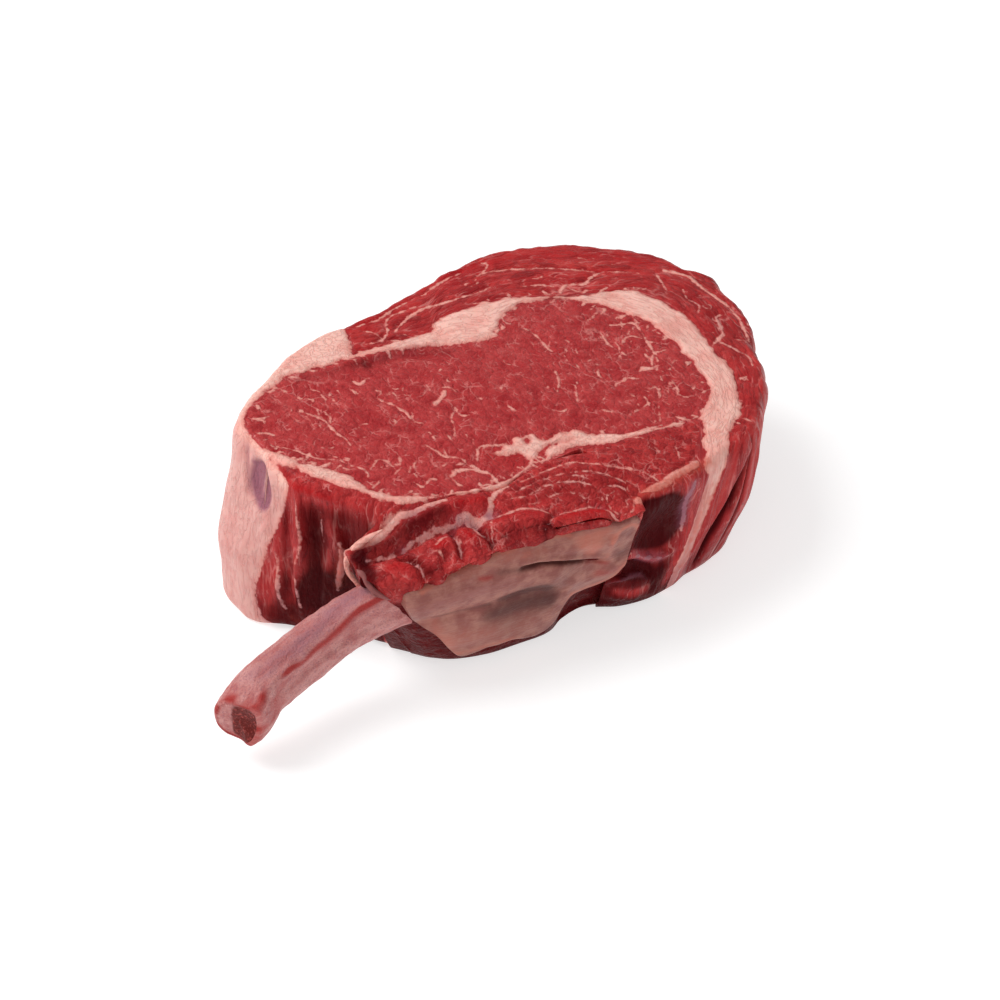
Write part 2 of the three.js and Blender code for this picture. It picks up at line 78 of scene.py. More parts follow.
# The rim, clockwise from the left corner as seen from above: place on the upper face, place of the foot.
RIM: Points = (
    (-70, 24.5, -79, 22), (-70.8, 32, -78.5, 33), (-65, 39.5, -70, 44), (-55, 47.5, -58, 52),
    (-43.5, 55, -45, 59), (-30, 60.5, -30, 64), (-19, 62, -19, 65), (-8, 65.5, -8, 68),
    (6, 70.5, 6, 72), (20, 75, 20, 75.5), (36, 78, 36, 77.5), (51, 77.5, 52, 76),
    (65, 73.5, 65, 71.5), (77, 66.5, 77, 64), (88, 58.5, 87, 56), (96, 49.5, 94, 47),
    (101.5, 40, 97, 38), (103, 29, 97, 27.5), (101, 16, 94, 15), (96, 4, 87, 3.5),
    (90.5, -8, 81, -7), (83.5, -19, 73.5, -16.5), (75, -28, 65, -25), (65, -34.5, 56, -30),
    (55, -38, 47, -33), (46, -40, 39, -34.5), (37, -42.5, 31, -35.5), (28, -43, 22, -34),
    (18, -38, 14, -30), (2, -32, 2, -27), (-16, -31, -14, -26), (-34, -29, -30, -24),
    (-46, -24, -42, -18), (-53, -14, -50.5, -10), (-59.5, -5.5, -57, -1.5), (-65.5, 3, -66, 5.5),
    (-69.5, 12, -74, 12.5), (-70, 19, -78, 17),
)
RIM_FIRST = -8.0  # the wall chart starts at this row of RIM, behind the rib meat, and ends at RIM_LAST
RIM_LAST = 30.0

EYE: Points = (
    (-66, 20), (-65, 32), (-56, 41), (-44, 45), (-27, 44.5), (-10, 44), (5, 42), (20, 38.5), (28, 45.5),
    (40, 48), (52, 43), (61, 34), (69, 21), (70, 4), (68, -9), (58, -18.5), (46, -17.5), (34, -16),
    (22, -11.5), (11, -11.5), (4, -17), (-5, -19.5), (-15, -20.5), (-27, -19), (-38, -16),
    (-46, -10.5), (-51, -2), (-57, 5.5), (-63, 12),
)
EYE_TIP_RIGHT = 13.5  # row of EYE at its right tip; row 0 is its left tip
EYE_BACK_LEFT = 4.2  # row where the fat behind the eye is thinnest
EYE_FRONT_RIGHT = 15.1  # row where the seam in front of the eye ends

KERNEL_OUTER: Points = (
    (-24, 47), (-10, 47.2), (2, 47.2), (9, 52.5), (24, 53.5), (38, 52), (50, 47.5), (62, 44.5),
    (73, 41.5), (79, 33), (81.5, 20), (81, 5), (79.5, -9), (72, -21.5), (64, -29), (59, -36),
)
INNER_RIGHT: Points = ((57, -20.5), (56, -23), (53, -28), (49, -34), (47, -39.5))
SEAM_FRONT: Points = (
    (-69, 14.5), (-64, 5.5), (-58, -2), (-52, -10), (-44.5, -17.5), (-37, -19.8), (-28, -20.5),
    (-20, -22), (-13, -22.8), (-3, -20), (8, -17.5), (18, -16.5), (34, -20), (47, -21), (57, -20.5),
)
SEAM_STRAP_END = 5  # point of SEAM_FRONT where the side strap ends
SEAM_INNER_START = 11  # and where the inner muscle begins
RIM_REACH = 15.0  # inner boundaries nearer the rim than this follow the wall in as they go down

ROW_CAP_START = 5.85  # rows of RIM where one piece gives way to the next
ROW_STRAP_START = -1.6
ROW_STRAP_END = -5.4
ROW_CAP_END = 23.6
ROW_KERNEL_END = 24.9
ROW_INNER_END = 27.5

EDGE_TOP = (3.2, 6.0)  # rounding of the wall into the upper face: across, down
EDGE_FOOT = (2.4, 4.0)
WALL_SWELL = 1.8  # how far the wall bulges at half height

# Hollows and swellings of the wall: x, y on the rim, height share, reach along, reach in height, depth.
WALL_FORMS: Points = (
    (34, -42, 0.55, 8, 0.26, -6.5), (56, -37, 0.35, 7, 0.5, -2.2), (72, -31, 0.5, 7, 0.4, 1.6),
    (-55, -8, 0.45, 5, 0.5, -3.4), (-66, 9, 0.35, 4, 0.5, -1.4), (-73, 27, 0.4, 8, 0.3, 1.4),
    (-72, 20, 0.72, 3.5, 0.14, -1.6),
)

# Meat on the rib: upper inner edge, upper outer edge, foot of the inner and of the outer edge.
RIB_MEAT: Points = (
    (-61.5, -18, -61.5, -27.5, -46, -15, -42, -22), (-54, -18, -57, -35, -43, -18, -38, -26.5),
    (-44, -19.5, -46, -38.5, -38, -20, -31, -31), (-28, -20.5, -30, -40, -26, -21.5, -22, -33.5),
    (-13, -23, -15, -41, -13, -22, -12, -34), (-3, -20, -3, -42.5, -3, -20, -3, -34),
    (8, -17.5, 8, -44, 6, -18, 5, -31), (19, -19.5, 15.5, -46, 13, -20, 12.5, -29.5),
    (27, -24, 23, -45, 19, -22, 19, -31),
)
RIB_EDGE = (3.0, 5.0)
RIB_SWELL = 1.2
RIB_DROP = 9.5  # the meat on the rib lies this much below the cut face at its left end
RIB_DROP_X = (-60.0, -6.0)  # and meets it at the second of these places
RIB_DROP_FROM: Points = ((-60, -7), (-52, -11), (-44, -17), (-28, -20), (-10, -21))  # x, y where it starts
RIB_DROP_WIDTH = 10.0
RIB_DROP_FRONT = 3.0

# Skin on the rib meat: share of its length, lower edge and upper edge as shares of the height.
MEMBRANE_EDGE: Points = (
    (0.145, 0.66, 0.84), (0.17, 0.54, 0.95), (0.2, 0.4, 0.98), (0.225, 0.18, 0.98), (0.26, 0.09, 0.98),
    (0.36, 0.12, 0.98), (0.46, 0.11, 0.98), (0.56, 0.08, 0.98), (0.62, 0.13, 0.98), (0.67, 0.3, 0.98),
    (0.74, 0.35, 0.98), (0.85, 0.35, 0.98), (0.94, 0.38, 0.98), (0.985, 0.52, 0.93),
)
MEMBRANE_PROUD = 0.6
HOLLOW_UNDER_SKIN = 2.6  # the front goes in by this much under the skin's right end
END_STRIP: Points = (  # pale strip down the left end of the rib meat: place and half width
    (-50, -19.6, 50.2, 0.6), (-56, -18.4, 47.2, 0.9), (-61, -18.8, 44, 0.9), (-61.8, -20, 40, 0.8),
    (-60.4, -21.6, 36.5, 0.8), (-58.5, -23, 33.5, 1.1),
)
ROOT_TISSUE: Points = (  # torn grey skin where the rib goes into the meat
    (-61.6, -25, 44, 0.5), (-60.8, -27.4, 43, 0.9), (-60, -29.6, 40.6, 1.1),
    (-58.4, -31.6, 38.4, 1), (-56, -33.2, 37, 0.7), (-53, -34.2, 36.4, 0.4),
)

# The rib: centre line, half height and half thickness.
RIB_BONE: Points = (
    (-108, -37.2, 16.2, 7.8, 6.2), (-103, -35.2, 17.6, 9, 6.8), (-93, -31.5, 20.5, 9.2, 6),
    (-80, -28.2, 23, 9.6, 5.8), (-66, -26.6, 26, 9.8, 5.8), (-50, -27.6, 29, 10, 5.8),
    (-32, -28.6, 29.8, 9.6, 5.4), (-12, -30, 29.4, 9, 5), (6, -31, 28, 7.6, 4.4),
)

# ---- small tools ----


def ease(low: float | Array, high: float | Array, value: Array) -> Array:
    """A smooth step from 0 where the value is low to 1 where it is high."""
    share = np.clip((value - low) / (high - low), 0, 1)
    return share * share * (3 - 2 * share)


def bell(distance: Array, reach: float) -> Array:
    """A bell curve that is 1 at no distance and falls off over its reach."""
    return np.exp(-((distance / reach) ** 2))


def drawn_in(edge: tuple[float, float], distance: Array) -> Array:
    """How far a wall is drawn in at a distance down from its edge: a quarter of an ellipse."""
    share = np.clip(distance / edge[1], 0, 1)
    return edge[0] * (1 - np.sqrt(1 - (1 - share) ** 2))


def run_along(points: Array) -> Array:
    """Distance in plan of each point of a line from its start."""
    return np.concatenate([[0], np.cumsum(np.hypot(*np.diff(points[:, :2], axis=0).T))])


@dataclass(frozen=True)
class Curve:
    """A smooth curve through rows of numbers, read by row number.

    Each stretch is a cubic whose slope at a row is half the step from the row before to the row after.
    """

    rows: Points
    closed: bool = False

    def at(self, place: Array) -> Array:
        """Reads the curve.

        Args:
            place: Row numbers, which may lie between rows.

        Returns:
            One row of numbers for each place.
        """
        rows = np.asarray(self.rows, float)
        count = len(rows)
        place = np.asarray(place, float)
        if self.closed:
            first = np.floor(place).astype(int)
            picks = [rows[(first + k) % count] for k in (-1, 0, 1, 2)]
        else:
            padded = np.vstack([2 * rows[0] - rows[1], rows, 2 * rows[-1] - rows[-2]])
            first = np.clip(np.floor(place).astype(int), 0, count - 2)
            picks = [padded[first + k + 1] for k in (-1, 0, 1, 2)]
        t = (place - first)[..., None]
        before, here, after, beyond = picks
        slope, next_slope = (after - before) / 2, (beyond - here) / 2
        cubic = 2 * here - 2 * after + slope + next_slope
        square = -3 * here + 3 * after - 2 * slope - next_slope
        return cubic * t**3 + square * t**2 + slope * t + here

    def spaced(self, start: float, end: float, count: int) -> Array:
        """Row numbers from start to end at equal distances along the curve in plan.

        Args:
            start: First row number.
            end: Last row number, which may be below the first.
            count: How many row numbers.

        Returns:
            The row numbers.
        """
        fine = np.linspace(start, end, 600)
        run = run_along(self.at(fine))
        return np.interp(np.linspace(0, run[-1], count), run, fine)

    def length(self, start: float, end: float) -> float:
        """Length in plan between two row numbers."""
        return run_along(self.at(np.linspace(start, end, 600)))[-1]


@dataclass(frozen=True)
class Mottle:
    """Smooth random bumps on a plane: random heights at the corners of a square net, eased between them."""

    seed: int
    size: float

    def at(self, u: Array, v: Array) -> Array:
        """Heights from -1 to 1 at places of the plane.

        Args:
            u: First coordinate.
            v: Second coordinate.

        Returns:
            The heights.
        """
        net = np.random.default_rng(self.seed).uniform(-1, 1, (128, 128))
        u, v = np.asarray(u) / self.size, np.asarray(v) / self.size
        i, j = np.floor(u).astype(int), np.floor(v).astype(int)
        s, t = ease(0, 1, u - i), ease(0, 1, v - j)
        low = net[i % 128, j % 128] * (1 - s) + net[(i + 1) % 128, j % 128] * s
        high = net[i % 128, (j + 1) % 128] * (1 - s) + net[(i + 1) % 128, (j + 1) % 128] * s
        return low * (1 - t) + high * t


# ---- charts ----


class Layer(Enum):
    """What a chart holds at each of its places."""

    FAT = "fat"  # distance into fat in millimetres, below 0 in lean
    TONE = "tone"  # -1 is dark and dry blood red, 1 is bright red; it also holds painted shade in clefts, grooves and hollows and painted light on ridges
    TINT = "tint"  # -1 is salmon orange, 1 is lilac
    HEIGHT = "height"  # relief in millimetres


FAT, TONE, TINT, HEIGHT = Layer


@dataclass(frozen=True)
class Stroke:
    """A smooth line drawn on a chart. In FAT its half width counts, elsewhere it fades off as a bell."""

    layer: Layer
    points: Points
    width: float = 0.5
    amount: float = 1.0
    taper: bool = False  # the line thins out to both ends


@dataclass(frozen=True)
class Patch:
    """A filled outline drawn on a chart, with an edge that fades over `soft` millimetres."""

    layer: Layer
    points: Points
    amount: float = 1.0
    soft: float = 1.0


Marks = Sequence[tuple]  # rows of layer, two numbers and then places
Window = tuple[slice, slice]  # part of a chart
WHOLE: Window = (slice(None), slice(None))


def strokes(rows: Marks, taper: bool = False) -> list[Stroke]:
    """Strokes from rows of layer, width, amount and places."""
    return [Stroke(layer, points, width, amount, taper) for layer, width, amount, *points in rows]


def patches(rows: Marks) -> list[Patch]:
    """Patches from rows of layer, amount, softness and places."""
    return [Patch(layer, points, amount, soft) for layer, amount, soft, *points in rows]


class Chart:
    """A flat lattice of numbers in several layers."""

    def __init__(self, low: tuple[float, float], high: tuple[float, float], step: float) -> None:
        """Makes an empty chart.

        Args:
            low: Its lowest corner.
            high: Its highest corner.
            step: Spacing of the lattice.
        """
        self.low = np.array(low, float)
        self.step = step
        counts = np.ceil((np.array(high) - self.low) / step).astype(int) + 1
        axes = [self.low[k] + step * np.arange(counts[k]) for k in (0, 1)]
        self.u, self.v = np.meshgrid(*axes, indexing="ij")
        self.layers = {layer: np.zeros(self.u.shape) for layer in Layer}
        self.layers[FAT] -= 20.0

    def _window(self, points: Array, margin: float) -> Window:
        """The part of the lattice within a margin of some points."""
        first = np.floor((points.min(0) - margin - self.low) / self.step).astype(int)
        last = np.ceil((points.max(0) + margin - self.low) / self.step).astype(int) + 1
        first = np.clip(first, 0, self.u.shape)
        last = np.clip(last, 0, self.u.shape)
        return slice(first[0], last[0]), slice(first[1], last[1])

    def _near(self, line: Array, window: Window) -> tuple[Array, Array]:
        """Distance to a line of points, and the share of its length at the nearest place."""
        u, v = self.u[window], self.v[window]
        best = np.full(u.shape, 1e6)
        share = np.zeros(u.shape)
        for i, (start, end) in enumerate(zip(line[:-1], line[1:], strict=True)):
            run = end - start
            t = ((u - start[0]) * run[0] + (v - start[1]) * run[1]) / max(float(run @ run), 1e-9)
            t = np.clip(t, 0, 1)
            away = np.hypot(u - start[0] - t * run[0], v - start[1] - t * run[1])
            nearer = away < best
            best = np.where(nearer, away, best)
            share = np.where(nearer, (i + t) / (len(line) - 1), share)
        return best, share

    def signed(self, outline: Array, window: Window = WHOLE) -> Array:
        """Distance into a closed outline, below 0 outside it. A place is inside if a ray from it crosses
        the outline an odd number of times."""
        ring = np.vstack([outline, outline[:1]])
        away, _ = self._near(ring, window)
        u, v = self.u[window], self.v[window]
        inside = np.zeros(u.shape, bool)
        for start, end in zip(ring[:-1], ring[1:], strict=True):
            crosses = (start[1] > v) != (end[1] > v)
            rise = end[1] - start[1] if end[1] != start[1] else 1e-9
            inside ^= crosses & (u < start[0] + (v - start[1]) / rise * (end[0] - start[0]))
        return np.where(inside, away, -away)

    def draw(self, *marks: Stroke | Patch) -> None:
        """Draws strokes and patches, each over those before it."""
        for mark in marks:
            (self._stroke if isinstance(mark, Stroke) else self._patch)(mark)

    def _stroke(self, stroke: Stroke) -> None:
        """Draws one stroke: in FAT by its distance, elsewhere as a bell across the line."""
        rows = np.asarray(stroke.points, float)[:, :2]
        line = Curve(rows).at(np.linspace(0, len(rows) - 1, 5 * len(rows)))
        window = self._window(line, 4 * stroke.width + 5)
        away, share = self._near(line, window)
        thin = np.sqrt(np.clip(4 * share * (1 - share), 0.02, 1)) if stroke.taper else 1.0
        layer = self.layers[stroke.layer]
        if stroke.layer is FAT and stroke.amount > 0:
            layer[window] = np.maximum(layer[window], stroke.width * thin - away)
        elif stroke.layer is FAT:
            layer[window] = np.minimum(layer[window], away - stroke.width * thin)
        else:
            layer[window] += stroke.amount * bell(away, stroke.width) * thin

    def _patch(self, patch: Patch) -> None:
        """Draws one patch: in FAT by its signed distance, elsewhere as a soft-edged plateau."""
        rows = np.asarray(patch.points, float)
        count = 4 * len(rows)
        outline = Curve(rows, closed=True).at(np.arange(count) / 4)
        window = self._window(outline, 2 * patch.soft + 6)
        inside = self.signed(outline, window)
        layer = self.layers[patch.layer]
        if patch.layer is FAT and patch.amount > 0:
            layer[window] = np.maximum(layer[window], inside)
        elif patch.layer is FAT:
            layer[window] = np.minimum(layer[window], -inside)
        else:
            layer[window] += patch.amount * ease(-patch.soft, patch.soft, inside)

    def read(self, layer: Layer, u: Array, v: Array) -> Array:
        """A layer's numbers at places of the chart, blended between the lattice's four nearest.

        Args:
            layer: Which layer.
            u: First coordinate.
            v: Second coordinate.

        Returns:
            The numbers.
        """
        grid = self.layers[layer]
        a = np.clip((u - self.low[0]) / self.step, 0, grid.shape[0] - 1.001)
        b = np.clip((v - self.low[1]) / self.step, 0, grid.shape[1] - 1.001)
        i, j = a.astype(int), b.astype(int)
        s, t = a - i, b - j
        low = grid[i, j] * (1 - s) + grid[i + 1, j] * s
        high = grid[i, j + 1] * (1 - s) + grid[i + 1, j + 1] * s
        return low * (1 - t) + high * t


# ---- what is drawn on the cut face ----

# Marbling of the eye muscle, each line as places on the cut face, with its half width.
EYE_VEINS: tuple[tuple[float, Points], ...] = (
    (0.55, ((-51.5, 29.5), (-49, 26.5), (-46.5, 22), (-46, 17), (-44.5, 13), (-44.5, 10))),
    (0.3, ((-43.5, 25), (-45.5, 21))),
    (0.35, ((-64, 18.5), (-61, 15.5), (-58.5, 12), (-55.5, 8.5), (-51, 6.5), (-48.5, 3))),
    (0.6, ((-48.5, 3), (-46, 0), (-45.5, -2.5), (-47.5, -5))),
    (0.45, ((-45, -2), (-42, 0.5), (-39.5, 1.5), (-37.5, -1.5), (-37.5, -4))),
    (0.4, ((-37.5, -1.5), (-35, -2.5), (-34, 0))),
    (0.6, ((-27.5, 25.5), (-26.5, 23.5), (-24.5, 21), (-23.5, 18), (-22.5, 15), (-22.5, 12))),
    (0.3, ((-21, 16), (-22, 12.5), (-20, 10))),
    (0.5, ((-24.5, 1), (-23, -2), (-21.5, -5), (-19.5, -6), (-17.5, -7.5), (-16.5, -10))),
    (0.45, ((-8, 13), (-8.5, 10), (-8, 8.5), (-5.5, 8))),
    (0.35, ((-8.5, 12), (-11.5, 9), (-12.5, 5.5), (-14.5, 1.5))),
    (0.9, ((-13, 16.5), (-10.5, 17.5), (-7.5, 20))),
    (0.7, ((-30.5, 35.5), (-29, 33.5), (-26, 35))),
    (0.35, ((-44, 37.5), (-42, 35.5), (-42, 32.5), (-42, 30.5))),
    (0.8, ((-23.5, -12.5), (-21, -11.5), (-17, -12), (-14, -14), (-12.5, -16.5), (-12.5, -20))),
    (0.6, ((-23.5, -12.5), (-23.5, -15.5), (-22.5, -17.5))),
    (0.55, ((-16.5, -10), (-15, -12), (-14, -14))),
    (0.5, ((-14, -11), (-10, -5.5), (-3.5, -6.5), (0.5, -6.5))),
    (0.4, ((-35, -10.5), (-33.5, -13.5), (-30, -11.5), (-28, -12.5))),
    (0.45, ((31, 35.5), (32, 32), (32, 29), (32, 26.5), (32.5, 24))),
    (0.4, ((51.5, 27), (51, 23), (51, 20), (52, 17))),
    (0.5, ((56.5, 29), (59.5, 28), (62, 27.5), (64, 26.5), (64, 23.5), (63.5, 20))),
    (0.7, ((63.5, 20), (62.5, 16), (62, 12.5), (62, 10.5))),
    (0.45, ((62, 12.5), (64, 11.5), (66, 12))),
    (0.6, ((61.5, 11.5), (59.5, 9.5), (58, 7))),
    (1.3, ((57.5, 6), (55, 6.8))),
    (0.45, ((60.5, 6), (57.5, 6.5), (55, 7), (52.5, 6))),
    (0.6, ((42, 2.5), (43, 3.5), (45.5, 4), (47.5, 4.8), (49.5, 3.5), (51, 3))),
    (0.35, ((50, -1.5), (51.5, -2.5), (53.5, -2.5), (53, -5), (51, -8), (48.5, -12), (46.5, -16))),
    (0.4, ((38.5, -10), (40.5, -9.5), (43.5, -9), (47, -8), (51, -8))),
    (0.3, ((60, -1), (59.5, -3.5), (59, -6.5), (57, -8.5))),
    (0.3, ((28, 9.5), (30.5, 7.5), (29, 4), (27, 0))),
    (0.3, ((20, 2), (22, 1.5))),
    (0.35, ((18.5, 0.5), (21, -1), (23, -0.5))),
    (0.4, ((28.5, 15.5), (27, 11), (24, 7))),
    (0.5, ((50, 33), (52, 33.5), (56.5, 36))),
    (0.45, ((54.5, 19), (57, 21), (60, 21), (63, 18))),
    (0.35, ((41.5, 12), (40, 9), (41, 6))),
)

# The seam between the strip of meat and the rounded swellings of the rib meat, and the one behind it.
RIB_SEAMS: tuple[tuple[float, Points], ...] = (
    (1.5, ((-61, -17.5), (-56, -18.5), (-51, -19.2), (-45.5, -19.6), (-41, -20.2))),
    (1.0, ((-41, -20.2), (-37.5, -20.4), (-34.5, -20.4), (-30.5, -20.6))),
    (0.45, ((-58, -24), (-55, -24.5), (-50.5, -25.5), (-47, -25.5))),
    (0.7, ((-47, -25.5), (-42.5, -25.5), (-37, -26), (-33, -26.5), (-29, -26.8))),
    (1.3, ((-29, -26.8), (-26.5, -27), (-24, -29.4), (-20.5, -29.8))),
    (0.6, ((-20.5, -29.8), (-17.5, -31.5), (-10.5, -31.8), (-6.5, -34), (-3, -37))),
    (0.4, ((-3, -37), (2, -37.5), (8.5, -38), (11.5, -39.5))),
    (0.6, ((11.5, -39.5), (13, -42), (13, -44), (14, -45))),
    (1.2, ((-20, -28.8), (-17.8, -25.8), (-15, -23.6), (-11, -22.3))),
    (0.9, ((-27, -28), (-26, -31), (-25.5, -34))),
    (0.5, ((-39, -30.5), (-36, -29), (-34, -29.5))),
    (0.5, ((-32, -28.5), (-32.5, -33), (-33.5, -36))),
)

# Fine fat lines of the coiled muscle right of them.
COIL_LINES: tuple[tuple[float, Points], ...] = (
    (0.3, ((-6, -22.5), (3, -21.2), (12, -20.8), (19.5, -25), (25.5, -29.5), (29, -35.5))),
    (0.25, ((-10, -26), (-1, -24.5), (7.5, -24.5), (15, -26.5), (20.5, -31.5), (24.5, -37), (24.5, -40))),
    (0.2, ((-14, -27), (-8, -28.5), (0, -27), (7, -28), (12, -30.5), (14, -34.5), (12.5, -38))),
    (0.2, ((-12, -30), (-5, -31.5), (2, -30.5), (7, -32.5), (9, -36))),
    (0.25, ((16, -33.5), (20, -35), (22, -39), (20, -43), (16, -43.5), (14, -40.5), (15, -36.5), (18, -36))),
    (0.2, ((17, -38.5), (19.5, -39), (19, -41.5), (16.8, -41))),
    (0.2, ((1, -23.5), (2.5, -26.5), (1, -29), (3, -31.5))),
    (0.35, ((21, -26.5), (27, -30.5), (31, -35), (32, -38.5))),
    (0.3, ((9, -26), (12, -28), (10.5, -31))),
)

# Fat lines of the cap, which run with its strands.
CAP_LINES: tuple[tuple[float, Points], ...] = (
    (0.5, ((-19, 50), (-15, 49.5), (-12, 50.5), (-9, 53.5), (-7.5, 57.5), (-3, 60.5), (6, 61.5))),
    (0.4, ((-16, 56), (-13.5, 54), (-12.5, 51))),
    (0.7, ((-7, 52.5), (-3, 55.5), (2.5, 58.3), (7.5, 59.6), (16, 59.3), (26, 59.3), (31.5, 60.5))),
    (0.5, ((29, 66), (33, 68), (39, 67), (45, 64.7), (51, 63), (56.5, 60), (62, 57), (67.5, 54))),
    (0.45, ((67.5, 54), (73, 51.5), (77, 50), (79.5, 48))),
    (0.4, ((35, 74), (36.5, 71.5), (33.5, 68.5))),
    (0.8, ((50.5, 49.5), (53.5, 51.5), (56.5, 51), (60, 50.2), (63, 51.8), (67.5, 53.6))),
    (0.4, ((54, 50), (55.5, 48), (57, 47))),
    (0.9, ((88, 47), (91, 44.5), (94, 41), (94.5, 35), (95.7, 28.5), (97, 23))),
    (0.6, ((97, 23), (96.7, 16.5), (94.8, 10.5), (93.5, 5))),
    (0.45, ((84.5, 46.5), (83.5, 41), (82.5, 37))),
    (0.7, ((80.5, 8), (84, 10), (88, 13), (90, 19.5), (94, 19.5))),
    (0.5, ((84, 10), (86.5, 4), (88.5, -1), (87.5, -5))),
    (0.4, ((88, 36), (86.5, 31), (88, 27), (85.5, 23))),
    (0.5, ((10, 66), (18, 69.5), (27, 71.5))),
    (0.35, ((40, 56.5), (46, 55), (50, 52.5))),
    (0.45, ((-17, 59), (-9, 59.8), (-3, 62.5), (6, 65.5))),
)

FAT_BLOB: Points = (
    (-7.5, -8.6), (-4.5, -8.4), (-2.5, -6.6), (-0.5, -7.6), (1.5, -5.2), (4, -6.2), (7.5, -6), (9, -9),
    (12.5, -9.6), (15.5, -8), (17.5, -9.4), (21, -9.2), (25, -13.6), (32, -16.2), (40, -17.2), (46, -17.8),
    (40, -18.4), (30, -17.6), (22, -14.4), (16, -12.4), (11, -11.6), (7, -12.2), (4, -14.6), (1.5, -14.4),
    (0, -11.6), (-3.5, -11), (-6, -10),
)
LEFT_TIP: Points = (  # the eye muscle reaches the rim at its left tip
    (-58, 18), (-64, 14.6), (-67.4, 18.2), (-68.6, 22), (-69.2, 27), (-68.4, 31.5), (-65, 36.2), (-59, 40),
    (-52, 42), (-52, 30),
)
BACK_FAT_TONGUE: Points = (
    (-4, 47.5), (2, 47.5), (10, 46), (18, 41.5), (21, 37.5), (14, 36.8), (4, 39), (-5, 41.5),
    (-14, 43.5), (-20, 44.5), (-14, 46.5),
)
KERNEL_ISLANDS: tuple[Points, ...] = (
    ((74, 41), (79, 38), (80.5, 32), (82, 27), (79.5, 27), (78, 33), (75, 37)),
    ((83, 17), (85, 12), (84, 6), (81.5, 9), (81, 15)),
)

